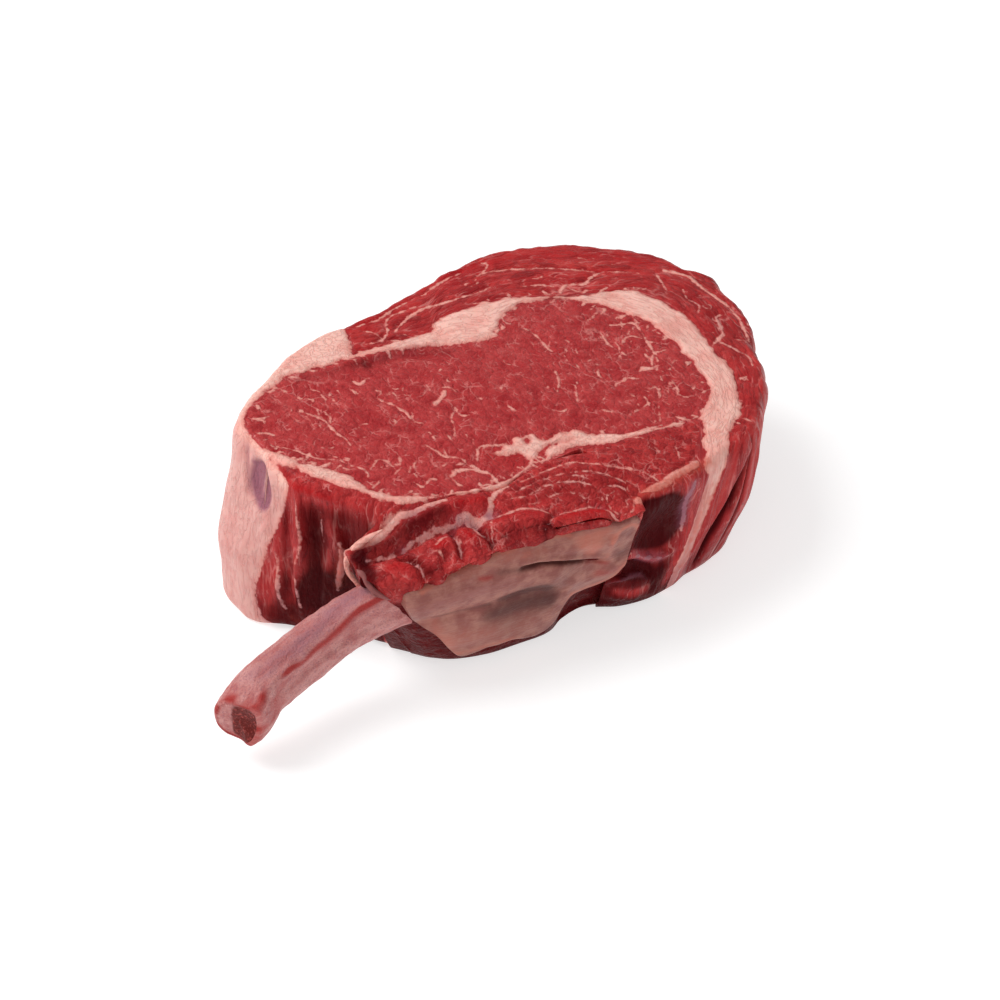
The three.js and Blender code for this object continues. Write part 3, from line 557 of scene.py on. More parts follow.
# Changes of colour and relief of the cut face.
FACE_PATCHES: Marks = (
    # bright new red in the eye, and the darker inner muscle
    (TONE, 0.35, 2, (-12, -6), (-6, -18), (10, -14), (2, -8)),
    (TONE, -0.2, 3, (20, -20), (40, -22), (54, -24), (47, -37), (30, -36)),
    # the rib meat: dark along its front and in its coil
    (TONE, -0.3, 1, (-62, -22), (-56, -24), (-30, -27), (-4, -38), (14, -44), (0, -50), (-64, -44)),
    (TONE, -0.35, 3, (-10, -25), (10, -23), (24, -30), (22, -41), (14, -38), (0, -33)),
    (TINT, 0.12, 3, (-10, -25), (10, -23), (24, -30), (22, -41), (14, -38), (0, -33)),
)
FACE_STROKES: Marks = (
    # salmon edge of fat along the rim right of the rib meat
    (FAT, 1.3, 1, (23, -41), (28, -40.6), (32, -39.6), (37, -38), (41, -37.4), (46, -36)),
    (TINT, 2.5, -0.8, (23, -41), (32, -40), (41, -38), (50, -37)),
    # painted shade under the raised lip of fat behind the eye, with a lilac tinge, and bright new red beside
    # it
    (TONE, 3.2, -0.42, (-22, 41), (-14, 41.5), (-6, 40), (2, 36.5)),
    (TINT, 1.8, 0.35, (-20, 42.5), (-13, 41.5), (-7, 40.5)),
    (TONE, 2, -0.4, (-45, 42), (-34, 42), (-24, 41)),
    (TONE, 5, 0.5, (-18, 58), (-10, 62), (8, 68), (26, 73), (44, 73)),
    (TONE, 3.5, -0.25, (-18, 52), (-6, 50), (10, 56), (30, 57), (48, 56)),
    (TONE, 4, -0.4, (80, 38), (87, 28), (89, 14), (86, 0)),
    (TONE, 2.2, 0.4, (36, 60), (52, 58), (64, 55), (74, 50)),
    (TONE, 2.6, 0.45, (50, 70), (64, 66), (76, 59), (86, 50)),
    (TONE, 1.4, -0.35, (30, 64), (46, 61.5), (58, 57)),
    (TINT, 1.6, -0.35, (28, 68), (46, 66), (60, 61), (74, 54)),
    # strip between the two seams of the rib meat: dark at the bone, bright at its thick end
    (TONE, 2.6, -0.8, (-58, -21.5), (-50, -22.5), (-42, -23), (-33, -23.5)),
    (TONE, 2.2, 0.6, (-27, -24), (-22, -24.5), (-18, -26)),
    # rounded swellings of the rib meat, painted brighter on top as if lit, with painted shade in the clefts
    # between them and at its left end
    (TONE, 2.2, 0.9, (-55, -30), (-51.5, -31), (-50, -33)),
    (TONE, 2, 1.1, (-38.5, -31), (-36, -30.8)),
    (TONE, 2, 1, (-30, -32), (-28.5, -34)),
    (TONE, 1.6, 0.8, (-21, -33.4), (-14, -34.4), (-8, -36.6)),
    (TONE, 1.5, 1.1, (-4, -39.6), (3, -40.2), (10, -41.8)),
    (TONE, 2.4, -0.7, (-60, -22), (-59, -30)),
    (TONE, 1.5, -0.6, (-47.5, -30), (-45.5, -33), (-44, -37)),
    (TONE, 1, -0.5, (-32.4, -28.5), (-33.5, -37)),
    (TONE, 1, -0.5, (-25.4, -29), (-24, -38.5)),
    (TONE, 0.9, -0.5, (-2.5, -37), (-9, -41.5)),
    (TONE, 1.6, 0.35, (-44, -34), (-36, -36.6), (-28, -38.4)),
    (TONE, 1.2, -0.35, (-20, -38.5), (-12, -40), (-6, -42)),
    # their relief, and the lips of fat behind the eye
    (HEIGHT, 3.4, 2, (-56, -30), (-52, -31.5), (-50, -33)),
    (HEIGHT, 2.4, 1, (-43.5, -33), (-41.5, -35.5)),
    (HEIGHT, 2.8, 1.7, (-39.5, -31), (-35.5, -31.2)),
    (HEIGHT, 2.8, 2, (-30.5, -32), (-28.4, -35)),
    (HEIGHT, 3.2, 2.2, (-21, -34.4), (-14, -35.8), (-8, -38)),
    (HEIGHT, 2.6, 2, (-4, -40), (3, -41), (10, -42.6)),
    (HEIGHT, 1.2, -1.6, (-48.5, -28.6), (-46.8, -31), (-45.6, -36.4)),
    (HEIGHT, 0.9, -1.5, (-32.2, -28), (-33.5, -37.2)),
    (HEIGHT, 0.9, -1.5, (-25.3, -28.6), (-24, -38.6)),
    (HEIGHT, 0.9, -1.2, (-2.5, -36.4), (-9, -41.6)),
    (HEIGHT, 2.6, 1, (-47, -34), (-42, -35), (-40, -34)),
    (HEIGHT, 0.9, -1, (-36.5, -34), (-40, -36)),
    (HEIGHT, 2, 1.5, (-58, -22), (-45, -23), (-30, -23.8), (-20, -25.5)),
    (HEIGHT, 0.8, -1, (-58, -25), (-47, -26), (-33, -27), (-24, -30)),
    (HEIGHT, 3.5, 0.6, (-10, -27), (2, -26), (14, -29), (20, -36)),
    (HEIGHT, 1.6, 0.9, (-30, 43), (-20, 43.5), (-10, 43.5), (0, 41.5)),
    (HEIGHT, 2, -0.9, (-22, 40.5), (-12, 40.5), (-4, 38.5)),
)
FACE_FINE_FAT: Marks = (  # in the clefts
    (FAT, 0.3, 1, (-48.6, -28.6), (-46.8, -31), (-45.8, -34), (-46, -37)),
    (FAT, 0.25, 1, (-41, -32), (-39, -33.5), (-38.5, -36.5)),
    (FAT, 0.3, 1, (-2.5, -36.6), (-5, -39), (-9, -41.4)),
    (FAT, 0.25, 1, (-20.5, -31), (-22.5, -34), (-24, -37.4)),
)

# Where short twigs of fat lie in the eye muscle: middle, reach along x and y, how many, their lean.
TWIG_FIELDS: Points = (
    (-46, 26, 14, 12, 20, 100), (-20, 26, 16, 12, 18, 95), (-50, 6, 10, 8, 10, 130), (-22, -6, 16, 9, 18, 60),
    (30, 26, 14, 12, 14, 100), (58, 18, 10, 14, 26, 80), (50, -8, 14, 8, 18, 110), (12, 8, 16, 16, 10, 60),
    (64, 60, 20, 7, 8, 150), (20, 65, 30, 5, 8, 175), (90, 20, 5, 22, 14, 90), (38, -27, 10, 7, 6, 120),
)


def twigs() -> list[Stroke]:
    """Short bent strokes of fat, thrown at random about the middles of TWIG_FIELDS.

    Returns:
        The strokes.
    """
    rng = np.random.default_rng(17)
    drawn = []
    for x, y, reach_x, reach_y, count, lean in TWIG_FIELDS:
        for _ in range(count):
            start = np.array([x + reach_x * rng.normal(0, 0.6), y + reach_y * rng.normal(0, 0.6)])
            angle = math.radians(lean + rng.normal(0, 32))
            length, bend = rng.uniform(1.2, 4.6), rng.normal(0, 0.7)
            turns = angle + bend * np.array([-0.5, 0.0, 0.5])
            steps = length / 3 * np.column_stack([np.cos(turns), np.sin(turns)])
            points = np.vstack([start, start + np.cumsum(steps, axis=0)])
            drawn.append(Stroke(FAT, points, rng.uniform(0.04, 0.26), taper=True))
    return drawn


def fringe(outline: Array, count: int, longest: float, seed: int) -> list[Stroke]:
    """Short strokes of fat from an outline into the muscle, thrown at random along it.

    Args:
        outline: Closed outline of the muscle.
        count: How many strokes.
        longest: Length of the longest.
        seed: Seed of the throw.

    Returns:
        The strokes.
    """
    rng = np.random.default_rng(seed)
    centre = outline.mean(0)
    drawn = []
    for _ in range(count):
        start = outline[rng.integers(len(outline))]
        inward = (centre - start) / np.linalg.norm(centre - start)
        angle = math.atan2(inward[1], inward[0]) + rng.normal(0, 0.6)
        length = longest * rng.uniform(0.25, 1) ** 1.6
        turns = angle + rng.normal(0, 0.5) * np.array([-0.5, 0.0, 0.5])
        steps = length / 3 * np.column_stack([np.cos(turns), np.sin(turns)])
        points = np.vstack([start - 0.6 * inward, start + np.cumsum(steps, axis=0)])
        drawn.append(Stroke(FAT, points, rng.uniform(0.15, 0.5), taper=True))
    return drawn


def draw_face(chart: Chart, eye: Array, cap: Array, front: Array) -> None:
    """Draws the seams, the marbling and the changes of colour of the cut face.

    Args:
        chart: The chart of the cut face, in plan.
        eye: Closed outline of the eye muscle.
        cap: Closed outline of the cap, carried on past the rim.
        front: Closed outline of all the meat in front of the seam, carried on past the rim.
    """
    grown = ((eye, 0.3), (cap, 0.2), (front, 0.8))
    lean = np.max([chart.signed(outline) + by for outline, by in grown], axis=0)
    lean = lean + 0.35 * ease(26, 36, chart.u)
    uneven = 0.9 * Mottle(51, 4.2).at(chart.u, chart.v) + 0.35 * Mottle(52, 1.7).at(chart.u, chart.v)
    chart.layers[FAT] = uneven * ease(6, 2, np.abs(lean)) - lean
    chart.draw(Patch(FAT, LEFT_TIP, -1))
    chart.draw(*fringe(eye, 110, 4.5, 61), *fringe(cap[:60], 30, -4.5, 62))
    chart.draw(
        Patch(FAT, FAT_BLOB),
        Patch(FAT, BACK_FAT_TONGUE),
        Stroke(FAT, ((4.6, -7.8), (5.2, -7.4)), 0.75, -1),
        Stroke(FAT, ((3, -13), (1.5, -16), (-3, -18.5), (-8, -20.6), (-13, -22.4)), 0.55),
        Stroke(FAT, ((14, -11), (12, -13.6), (7, -16), (3, -17)), 0.35, taper=True),
        *(Patch(FAT, island, -1) for island in KERNEL_ISLANDS),
    )
    for veins in (EYE_VEINS, RIB_SEAMS, COIL_LINES, CAP_LINES):
        chart.draw(*(Stroke(FAT, points, 0.72 * width, taper=width < 0.8) for width, points in veins))
    chart.draw(*twigs())
    chart.draw(*(Stroke(TINT, points, width + 1.2, 0.28) for width, points in RIB_SEAMS))
    chart.draw(*(Stroke(HEIGHT, points, width + 0.5, -0.22) for width, points in EYE_VEINS[:30]))
    chart.draw(*(Stroke(HEIGHT, points, width + 0.8, -0.5) for width, points in RIB_SEAMS))
    chart.draw(*(Stroke(HEIGHT, points, 0.7, -0.3) for _, points in COIL_LINES))
    chart.draw(*(Stroke(HEIGHT, points, width + 0.6, -0.25) for width, points in CAP_LINES))
    chart.draw(*patches(FACE_PATCHES), *strokes(FACE_STROKES), *strokes(FACE_FINE_FAT, True))


# ---- what is drawn on the walls ----

# Each place is a row of RIM and a height over the underside.
LEFT_FAT_WALL: Points = (
    (5.85, 70), (5.85, -6), (-1.9, -6), (-1.75, 4), (-1.6, 14), (-1.9, 24), (-2.1, 31), (-2.4, 39),
    (-2.55, 46), (-2.65, 52), (-2.8, 57), (-3.4, 59.5), (-4, 60), (-4, 70),
)
RIGHT_FAT_WALL: Points = (
    (24.95, 56), (24.75, 47), (24.55, 43), (24.65, 37), (24.8, 28), (24.95, 19), (25.1, 11), (25.2, 2),
    (25.2, -5), (24.9, -5), (24.8, 5), (24.45, 14), (24.2, 22), (24.1, 32), (23.9, 40), (23.65, 46),
    (23.5, 56),
)
PURPLE_MARK: Points = (
    (-0.55, 55), (-1, 57), (-1.6, 56.5), (-1.95, 52), (-2, 47), (-1.85, 43.5), (-1.5, 42.5),
    (-1, 43.5), (-0.45, 46), (-0.3, 50),
)
CAVITY: Points = (
    (-3.05, 52), (-3.6, 54), (-4.6, 53), (-5.6, 49), (-5.6, 30), (-4.6, 20), (-3.5, 12), (-3.25, 20),
    (-3.4, 34),
)
RECESS: Points = (
    (27.4, 45), (26.8, 47), (26, 44.5), (25.6, 40), (25.45, 32), (25.5, 25), (25.9, 21.5),
    (26.6, 22.5), (27.3, 27), (27.8, 34),
)

WALL_PATCHES: Marks = (
    # the left and the right fat, the right one with painted shade
    (FAT, 1, 1, *LEFT_FAT_WALL),
    (FAT, 1, 1, *RIGHT_FAT_WALL),
    (TINT, -0.55, 3, *RIGHT_FAT_WALL),
    (TONE, -0.3, 2, *RIGHT_FAT_WALL),
    # bruise of the left fat
    (TINT, 1.3, 1.8, *PURPLE_MARK),
    (TONE, -0.3, 2, *PURPLE_MARK),
    (HEIGHT, -1.6, 1.6, *PURPLE_MARK),
    # shade behind the bone
    (TONE, -0.75, 5, *CAVITY),
    (TONE, -0.5, 4, (-2.3, 20), (-3, 22), (-4, 26), (-5.2, 22), (-5.4, -5), (-2.2, -5)),
    # right front: painted shadow in the recess, and low meat darker partly by its own colour and partly by
    # painted shade
    (TONE, -1.5, 2.5, *RECESS),
    (TONE, -0.5, 3, (29.5, 30), (27, 20), (25.4, 18), (25.2, -4), (29.5, -4)),
    # painted shade in the hollow under it, pale fold and red foot
    (TONE, -0.8, 1.5, (27.7, 19), (27, 21), (26.2, 15), (26, 11.5), (26.8, 13)),
    (HEIGHT, -1.6, 2, (27.7, 19), (27, 21), (26.2, 15), (26, 11.5), (26.8, 13)),
)
WALL_STROKES: Marks = (  # strokes that thin out to both ends
    (TINT, 4, 0.5, (24.3, 52), (24.3, 44), (24.4, 40)),
    # the left fat: bruise with painted shade along its edges and a painted highlight, creases (the first with
    # painted shade in it), pinker foot
    (TONE, 1.2, -0.8, (-0.8, 53), (-0.75, 49), (-1, 45)),
    (TINT, 1, -0.9, (-1.45, 54), (-1.5, 50), (-1.3, 46)),
    (TONE, 1, 0.5, (-1.45, 54), (-1.5, 50)),
    (TONE, 0.9, -0.7, (-1.7, 55), (-1.95, 50), (-1.8, 44.5), (-1.2, 43.5)),
    (TONE, 0.8, -0.6, (-0.45, 54), (-0.3, 50), (-0.5, 46.5)),
    (TINT, 1, 0.5, (-0.3, 60), (-0.4, 54)),
    (TINT, 5, -0.3, (2.5, 50), (1.5, 30), (2, 12)),
    (TINT, 4, -0.3, (0.6, 24), (0.2, 14), (0.4, 8)),
    (HEIGHT, 0.7, -0.7, (0.25, 61), (0, 54), (-0.2, 48), (-0.5, 44)),
    (TONE, 0.5, -0.5, (0.25, 61), (0, 54), (-0.2, 48), (-0.5, 44)),
    (HEIGHT, 1.4, -0.6, (-1.9, 41), (-1.5, 36), (-1.4, 28)),
    (HEIGHT, 4, 0.5, (-0.6, 40), (-0.5, 22), (-0.3, 6)),
    (HEIGHT, 0.6, -0.8, (-1.5, 18), (-1.45, 9), (-1.5, 2)),
    (FAT, 0.35, -1, (-1.52, 17), (-1.5, 9), (-1.55, 3)),
    (TINT, 5, -0.35, (-1, 6), (0.5, 4), (2.5, 4)),
    # folds of the strap behind the bone, painted lighter on their ridges, with painted shade in the clefts
    # between them
    (TONE, 2.6, -0.5, (-3.35, 50), (-3.45, 40), (-3.4, 28), (-3.3, 14)),
    (TONE, 1.6, 0.45, (-4, 48), (-4, 38), (-3.8, 26)),
    (TONE, 3.4, 1.2, (-2.3, 58), (-2.8, 57), (-3.2, 56.5), (-3.8, 56), (-4.5, 54)),
    (TONE, 2, 0.7, (-2.3, 30), (-2.15, 18), (-2.1, 8)),
    (TONE, 1.4, 0.7, (-2.85, 30), (-2.8, 20), (-2.75, 10)),
    (TONE, 1, -0.6, (-2.65, 50), (-2.6, 38), (-2.6, 28), (-2.7, 12)),
    (TONE, 1.4, -0.2, (-2.75, 48), (-2.8, 38)),
    (TINT, 1.6, 0.35, (-2.75, 50), (-2.8, 42), (-2.85, 34)),
    (FAT, 0.55, 1, (-2.38, 31), (-2.42, 24), (-2.4, 17), (-2.5, 12), (-2.65, 8)),
    (FAT, 0.4, 1, (-3, 52), (-3.08, 45), (-3.2, 39), (-3.15, 34), (-2.95, 27)),
    (FAT, 0.35, 1, (-2.95, 27), (-3, 19), (-3.1, 11)),
    (FAT, 0.2, 1, (-3.7, 50), (-3.72, 44), (-3.75, 38)),
    (HEIGHT, 1, 1.5, (-2.38, 33), (-2.42, 24), (-2.4, 17), (-2.6, 6)),
    (HEIGHT, 1.1, 1.8, (-3, 54), (-3.1, 44), (-3.2, 36), (-3, 24), (-3.1, 6)),
    (HEIGHT, 1.2, -1.4, (-2.7, 50), (-2.75, 35), (-2.8, 20), (-2.85, 6)),
    (HEIGHT, 1, -0.9, (-2.05, 24), (-2.1, 14), (-2.2, 4)),
    (HEIGHT, 1.6, -1.6, (-3.5, 52), (-3.6, 40), (-3.5, 22), (-3.4, 8)),
    (HEIGHT, 1.4, 0.8, (-4, 53), (-4.1, 40), (-3.9, 24)),
    (HEIGHT, 2, 1.2, (-2.7, 57), (-3.3, 56), (-4, 55.5), (-4.8, 53)),
    (TINT, 2, -0.4, (-2.6, 8), (-2.9, 4), (-3.3, 6)),
    # salmon fat where the strap meets the rib
    (FAT, 1.1, 1, (-4.25, 40), (-4.3, 33), (-4.2, 27), (-4.1, 19)),
    (TINT, 2.2, -0.7, (-4.25, 40), (-4.3, 33), (-4.2, 27), (-4.1, 19)),
    (HEIGHT, 1.3, 1.8, (-4.25, 42), (-4.3, 33), (-4.1, 18)),
    # right front: recess with painted shade along it, lilac skins, the lower one painted lighter where it
    # stands out, low meat
    (FAT, 0.8, 1, (24.95, 48), (25.25, 45), (25.45, 40), (25.35, 33), (25.25, 26)),
    (TINT, 2.4, 1.1, (24.95, 48), (25.25, 45), (25.45, 40), (25.35, 33), (25.25, 26)),
    (TONE, 2.4, -0.7, (25.3, 45), (25.4, 36), (25.3, 26)),
    (FAT, 0.35, 1, (27.3, 25), (26.9, 22), (26.4, 19.5), (25.9, 18), (25.5, 18.5), (25.3, 23)),
    (TINT, 2.2, 1, (27.3, 25), (26.7, 20.5), (26, 18), (25.5, 18)),
    (TONE, 1.6, 0.4, (27.3, 25), (26.7, 20.5), (26, 18), (25.5, 18)),
    (HEIGHT, 1.4, 1.6, (27.4, 25), (26.6, 20), (26, 18), (25.3, 20)),
    # the hollow under it, pale fold and red foot, with painted shade low down; strands painted lighter on
    # their ridges and with painted shade in their grooves
    (HEIGHT, 1.2, 1.6, (28.2, 12), (27.4, 15), (26.6, 13.5), (26.1, 10)),
    (TINT, 1, 0.7, (28, 12), (27.3, 14.5), (26.6, 13.5), (26.2, 10)),
    (TONE, 1.6, 0.9, (27.5, 10), (26.7, 7), (26, 7)),
    (HEIGHT, 1.4, 0.8, (27.6, 8), (26.8, 5), (26.2, 5)),
    (TONE, 1.6, -0.6, (28.4, 4), (27.5, 3), (26.4, 2)),
    (TONE, 1.6, 1.1, (25.1, 24), (25.2, 13), (25.4, 5)),
    (TONE, 1.2, -0.6, (25.7, 14), (25.9, 10), (25.9, 4)),
    (HEIGHT, 1, 1.2, (23.6, 46), (23.8, 40), (24, 32), (24, 22), (24.3, 15), (25, 8)),
    (TONE, 0.9, 0.5, (23.7, 46), (23.9, 40), (24.05, 32), (24.1, 22), (24.4, 14)),
    (HEIGHT, 1, -1, (24.4, 47), (24.5, 38), (24.6, 28), (24.7, 18)),
    (TONE, 0.8, -0.4, (24.4, 44), (24.5, 34), (24.65, 22)),
    # strands of the cap's end: painted shade in the deep groove between them, and painted orange-red
    # highlights along them
    (HEIGHT, 1.1, -3, (22.7, 42), (22.9, 34), (23.2, 25), (23.5, 16), (23.75, 5)),
    (TONE, 1.3, -1.6, (22.7, 42), (22.9, 34), (23.2, 25), (23.5, 16), (23.75, 5)),
    (TINT, 1.4, -0.5, (23.3, 44), (23.4, 36), (23.8, 24), (24.1, 10)),
    (TONE, 1.2, 0.6, (23.3, 44), (23.4, 36), (23.8, 24), (24.1, 10)),
    (TONE, 1.6, 0.7, (24, 20), (24.3, 12), (24.8, 2)),
)


def draw_wall(chart: Chart, run_of: Curve) -> None:
    """Draws the side walls: fat and lean, folds, strands and hollows, with painted light on ridges and
    painted shade in grooves, hollows and low down.

    Args:
        chart: The chart of the wall: distance along the rim, and height.
        run_of: Gives the distance along the rim for a row of it.
    """

    def at(points: Points) -> Array:
        """Rows of the rim and heights as places of the chart."""
        rows = np.asarray(points, float)
        return np.column_stack([run_of.at(rows[:, 0] - RIM_FIRST)[:, 0], rows[:, 1]])

    def draw(marks: Sequence[Stroke | Patch]) -> None:
        """Draws marks whose places are rows of the rim and heights."""
        chart.draw(*(replace(mark, points=at(mark.points)) for mark in marks))

    # painted shade: the lean walls darken towards their foot, and the left fat wall is darker all over than
    # the fat of the cut face
    in_fat = ease(-3, 3, chart.signed(at(LEFT_FAT_WALL)))
    chart.layers[TONE] -= 0.5 * ease(36, 4, chart.v) * (1 - in_fat) + 0.5 * in_fat
    draw([*patches(WALL_PATCHES), *strokes(WALL_STROKES, True)])
    rng = np.random.default_rng(81)
    for row in np.concatenate([np.arange(6.6, 18, 0.55), np.arange(18, 22.8, 0.27)]):
        row = row + rng.uniform(-0.12, 0.12)
        lean = 0.35 if row > 18 else 0.15
        depth = rng.uniform(-1.1, 0.5)
        wide = rng.uniform(0.5, 1.2)
        points = ((row, 58), (row + lean * 0.6, 40), (row + lean, 22), (row + 1.4 * lean, 3))
        # the tone follows each strand's relief: painted light on the raised strands, painted shade in the
        # sunken ones
        marks = ((HEIGHT, depth), (TONE, 0.9 * depth), (TINT, rng.uniform(-0.5, 0.2)))
        draw([Stroke(layer, points, wide, amount, True) for layer, amount in marks])


# ---- the form of the steak ----


@dataclass
class Look:
    """What the finish reads at each point of a surface."""

    fat: Array
    tone: Array
    tint: Array
    grain: Array  # place along the strands and across them, and depth

    def joined(self, other: Look, share: Array) -> Look:
        """Blends to another look, by a share of it from 0 to 1, and keeps its own grain."""
        pairs = ((getattr(self, part), getattr(other, part)) for part in ("fat", "tone", "tint"))
        return Look(*(mine * (1 - share) + theirs * share for mine, theirs in pairs), self.grain)


class SteakForm:
    """The cut face, the rim and the wall, which all pieces of the slab share."""

    def __init__(self) -> None:
        """Draws the charts of the cut face and of the wall."""
        self.rim = Curve(RIM, closed=True)
        rows = np.arange(RIM_FIRST, RIM_LAST + 1)
        fine = np.linspace(RIM_FIRST, RIM_LAST, int(RIM_LAST - RIM_FIRST) * 40 + 1)
        run = run_along(self.rim.at(fine))
        self.run_of = Curve(np.column_stack([np.interp(rows, fine, run), rows]))
        self.face = Chart((-75, -60), (110, 90), CHART_STEP)
        self.wall = Chart((0, -2), (float(run[-1]) + 1, 70), FACE_STEP)
        draw_face(self.face, self._eye_outline(), self._cap_outline(), self._front_outline())
        draw_wall(self.wall, self.run_of)

    def _eye_outline(self) -> Array:
        """The eye muscle's closed outline."""
        return Curve(EYE, closed=True).at(np.arange(0, len(EYE), 0.25))

    def _cap_outline(self) -> Array:
        """The cap's outline in plan, carried on past the rim."""
        rows = np.arange(ROW_CAP_START, ROW_CAP_END, 0.5)
        rim = self.rim.at(rows)[:, :2]
        outside = rim + 12 * self.rim_normal(rows)
        inside = Curve(KERNEL_OUTER).at(np.arange(0, len(KERNEL_OUTER) - 0.9, 0.25))
        start = np.array([[-21.4, 70.0], [-20.6, 60.0], [-22.0, 54.0]])
        return np.vstack([inside, [[58.5, -48.0]], outside[::-1], start])

    def _front_outline(self) -> Array:
        """Outline of all the meat in front of the seam, carried on past the rim."""
        seam = Curve(SEAM_FRONT).at(np.arange(0, len(SEAM_FRONT) - 0.9, 0.25))
        right = Curve(INNER_RIGHT).at(np.arange(0, len(INNER_RIGHT) - 0.9, 0.25))
        return np.vstack([seam, right, [[46, -60], [-110, -60], [-110, 16]]])

    def rim_normal(self, rows: Array) -> Array:
        """Level outward directions at rows of the rim."""
        run = self.rim.at(rows + 0.01)[..., :2] - self.rim.at(rows - 0.01)[..., :2]
        run /= np.linalg.norm(run, axis=-1, keepdims=True)
        return np.stack([-run[..., 1], run[..., 0]], axis=-1)

    def plain_face(self, x: Array, y: Array) -> Array:
        """Height of the cut face without fine relief: a tilted plane, a low dome, a dip, a fall at the
        back, and a step down to the meat on the rib.

        Args:
            x: Place along the rib.
            y: Place across it.

        Returns:
            Heights over the underside.
        """
        plane = CUT_HEIGHT + CUT_FALL_X * x + CUT_RISE_Y * y
        dome = 1.4 * np.exp(-(((x - 2) / 62) ** 2) - ((y - 14) / 30) ** 2)
        dip = -1.6 * np.exp(-(((x - 12) / 26) ** 2) - ((y + 14) / 7) ** 2)
        behind = ease(-10, 20, y) * ease(-30, 20, x)
        fall = -1.6 * ease(46, 72, np.hypot(x - 44, y - 10)) * behind
        start = np.interp(x, *np.transpose(RIB_DROP_FROM))
        drop = RIB_DROP * (1 - ease(*RIB_DROP_X, x)) * ease(0, RIB_DROP_WIDTH, start - y)
        return plane + dome + dip + fall - drop

    def face_relief(self, x: Array, y: Array) -> Array:
        """Fine relief of the cut face: fat stands a little proud, with a crease along each seam, and the
        lean has soft bumps.

        Args:
            x: Place along the rib.
            y: Place across it.

        Returns:
            Heights to add.
        """
        fat = self.face.read(FAT, x, y)
        crease = -0.22 * bell(fat + 0.3, 0.7) + 0.3 * ease(0.2, 1.6, fat)
        lean = ease(0.2, -0.8, fat)
        bumps = 0.32 * Mottle(3, 13).at(x, y) + 0.2 * Mottle(4, 5.5).at(x, y)
        grain = 0.10 * Mottle(5, 2.1).at(x, y) + 0.05 * Mottle(6, 1.1).at(x, y)
        return crease + bumps + grain * (0.4 + 0.6 * lean) + self.face.read(HEIGHT, x, y)

    def face_height(self, x: Array, y: Array) -> Array:
        """Height of the finished cut face."""
        return self.plain_face(x, y) + self.face_relief(x, y)

    def wall_points(self, rows: Array, shares: Array) -> tuple[Array, Array, Array]:
        """Points of the wall: between the rim and its foot, moved out along the rim's level normal.

        Args:
            rows: Rows of the rim, one for each column.
            shares: Shares of the height, one for each level.

        Returns:
            Points by column and level, and their run along the rim and height.
        """
        rim = self.rim.at(rows)[:, None, :]
        normal = self.rim_normal(rows)[:, None, :]
        share = shares[None, :]
        x, y = rim[..., 0], rim[..., 1]
        height = self.plain_face(x, y)
        run = np.broadcast_to(self.run_of.at(rows - RIM_FIRST)[:, :1], (len(rows), len(shares)))
        z = share * height
        out = WALL_SWELL * np.sin(np.pi * share) * np.ones_like(x)
        for at_x, at_y, at_share, along, tall, depth in WALL_FORMS:
            out = out + depth * bell(np.hypot(x - at_x, y - at_y), along) * bell(share - at_share, tall)
        relief = self.wall.read(HEIGHT, run, z)
        relief = relief + 0.5 * Mottle(11, 12).at(run, z) + 0.3 * Mottle(12, 4.5).at(run, 0.4 * z)
        relief = relief + 0.12 * Mottle(13, 1.6).at(run, 0.35 * z)
        out = out + relief * ease(-4, 4, (1 - share) * height) * ease(0, 3, share * height)
        strands = ease(5.9, 7.5, rows)[:, None] * ease(25, 23, rows)[:, None] * ease(0, 3, share * height)
        rib = 1.5 * Mottle(14, 9.5).at(run, 0.2 * z) + 0.35 * Mottle(15, 3.1).at(run, 0.1 * z)
        out = out + strands * (rib - 0.4)
        out = out - drawn_in(EDGE_TOP, (1 - share) * height) - drawn_in(EDGE_FOOT, share * height)
        px = x + (rim[..., 2] - x) * (1 - share) + normal[..., 0] * out
        py = y + (rim[..., 3] - y) * (1 - share) + normal[..., 1] * out
        top = self.face_height(px, py) - height
        pz = z + top * ease(0.8, 1, share)
        return np.stack([px, py, pz], axis=-1), run, z

    def inside_points(self, edge: Array, shares: Array) -> Array:
        """Points of a boundary inside the steak: straight down, but near the rim moved in as the wall is.

        Args:
            edge: Places of the boundary in plan.
            shares: Shares of the height, one for each level.

        Returns:
            Points by place and level.
        """
        rows = np.arange(RIM_FIRST, RIM_LAST, 0.05)
        rim = self.rim.at(rows)[:, :2]
        away = np.hypot(edge[:, :1] - rim[:, 0], edge[:, 1:2] - rim[:, 1])
        nearest = away.argmin(1)
        wall, _, _ = self.wall_points(rows[nearest], np.append(shares, 1.0))
        fade = ease(RIM_REACH, 0, away.min(1))[:, None, None]
        plan = edge[:, None, :] + fade * (wall[..., :2] - rim[nearest][:, None, :])
        top = self.face_height(plan[:, -1, 0], plan[:, -1, 1])[:, None, None]
        return np.concatenate([plan, top * np.append(shares, 1.0)[None, :, None]], axis=-1)[:, :-1]

    def face_look(self, x: Array, y: Array, down: Array | float = 0.0) -> Look:
        """The look of the cut face at places in plan, with its grain drawn out down the walls."""
        grain = np.stack([x, y, 0.2 * down * np.ones_like(x)], axis=-1)
        read = self.face.read
        return Look(read(FAT, x, y), read(TONE, x, y), read(TINT, x, y), grain)

    def wall_look(self, run: Array, z: Array) -> Look:
        """The look of the wall."""
        read = self.wall.read
        none = np.zeros((*z.shape, 3))
        return Look(read(FAT, run, z), read(TONE, run, z), read(TINT, run, z), none)


# ---- meshes ----


def linked(name: str, data: bpy.types.ID) -> bpy.types.Object:
    """An object made of some data, put into the scene."""
    made = bpy.data.objects.new(name, data)
    bpy.context.scene.collection.objects.link(made)
    return made


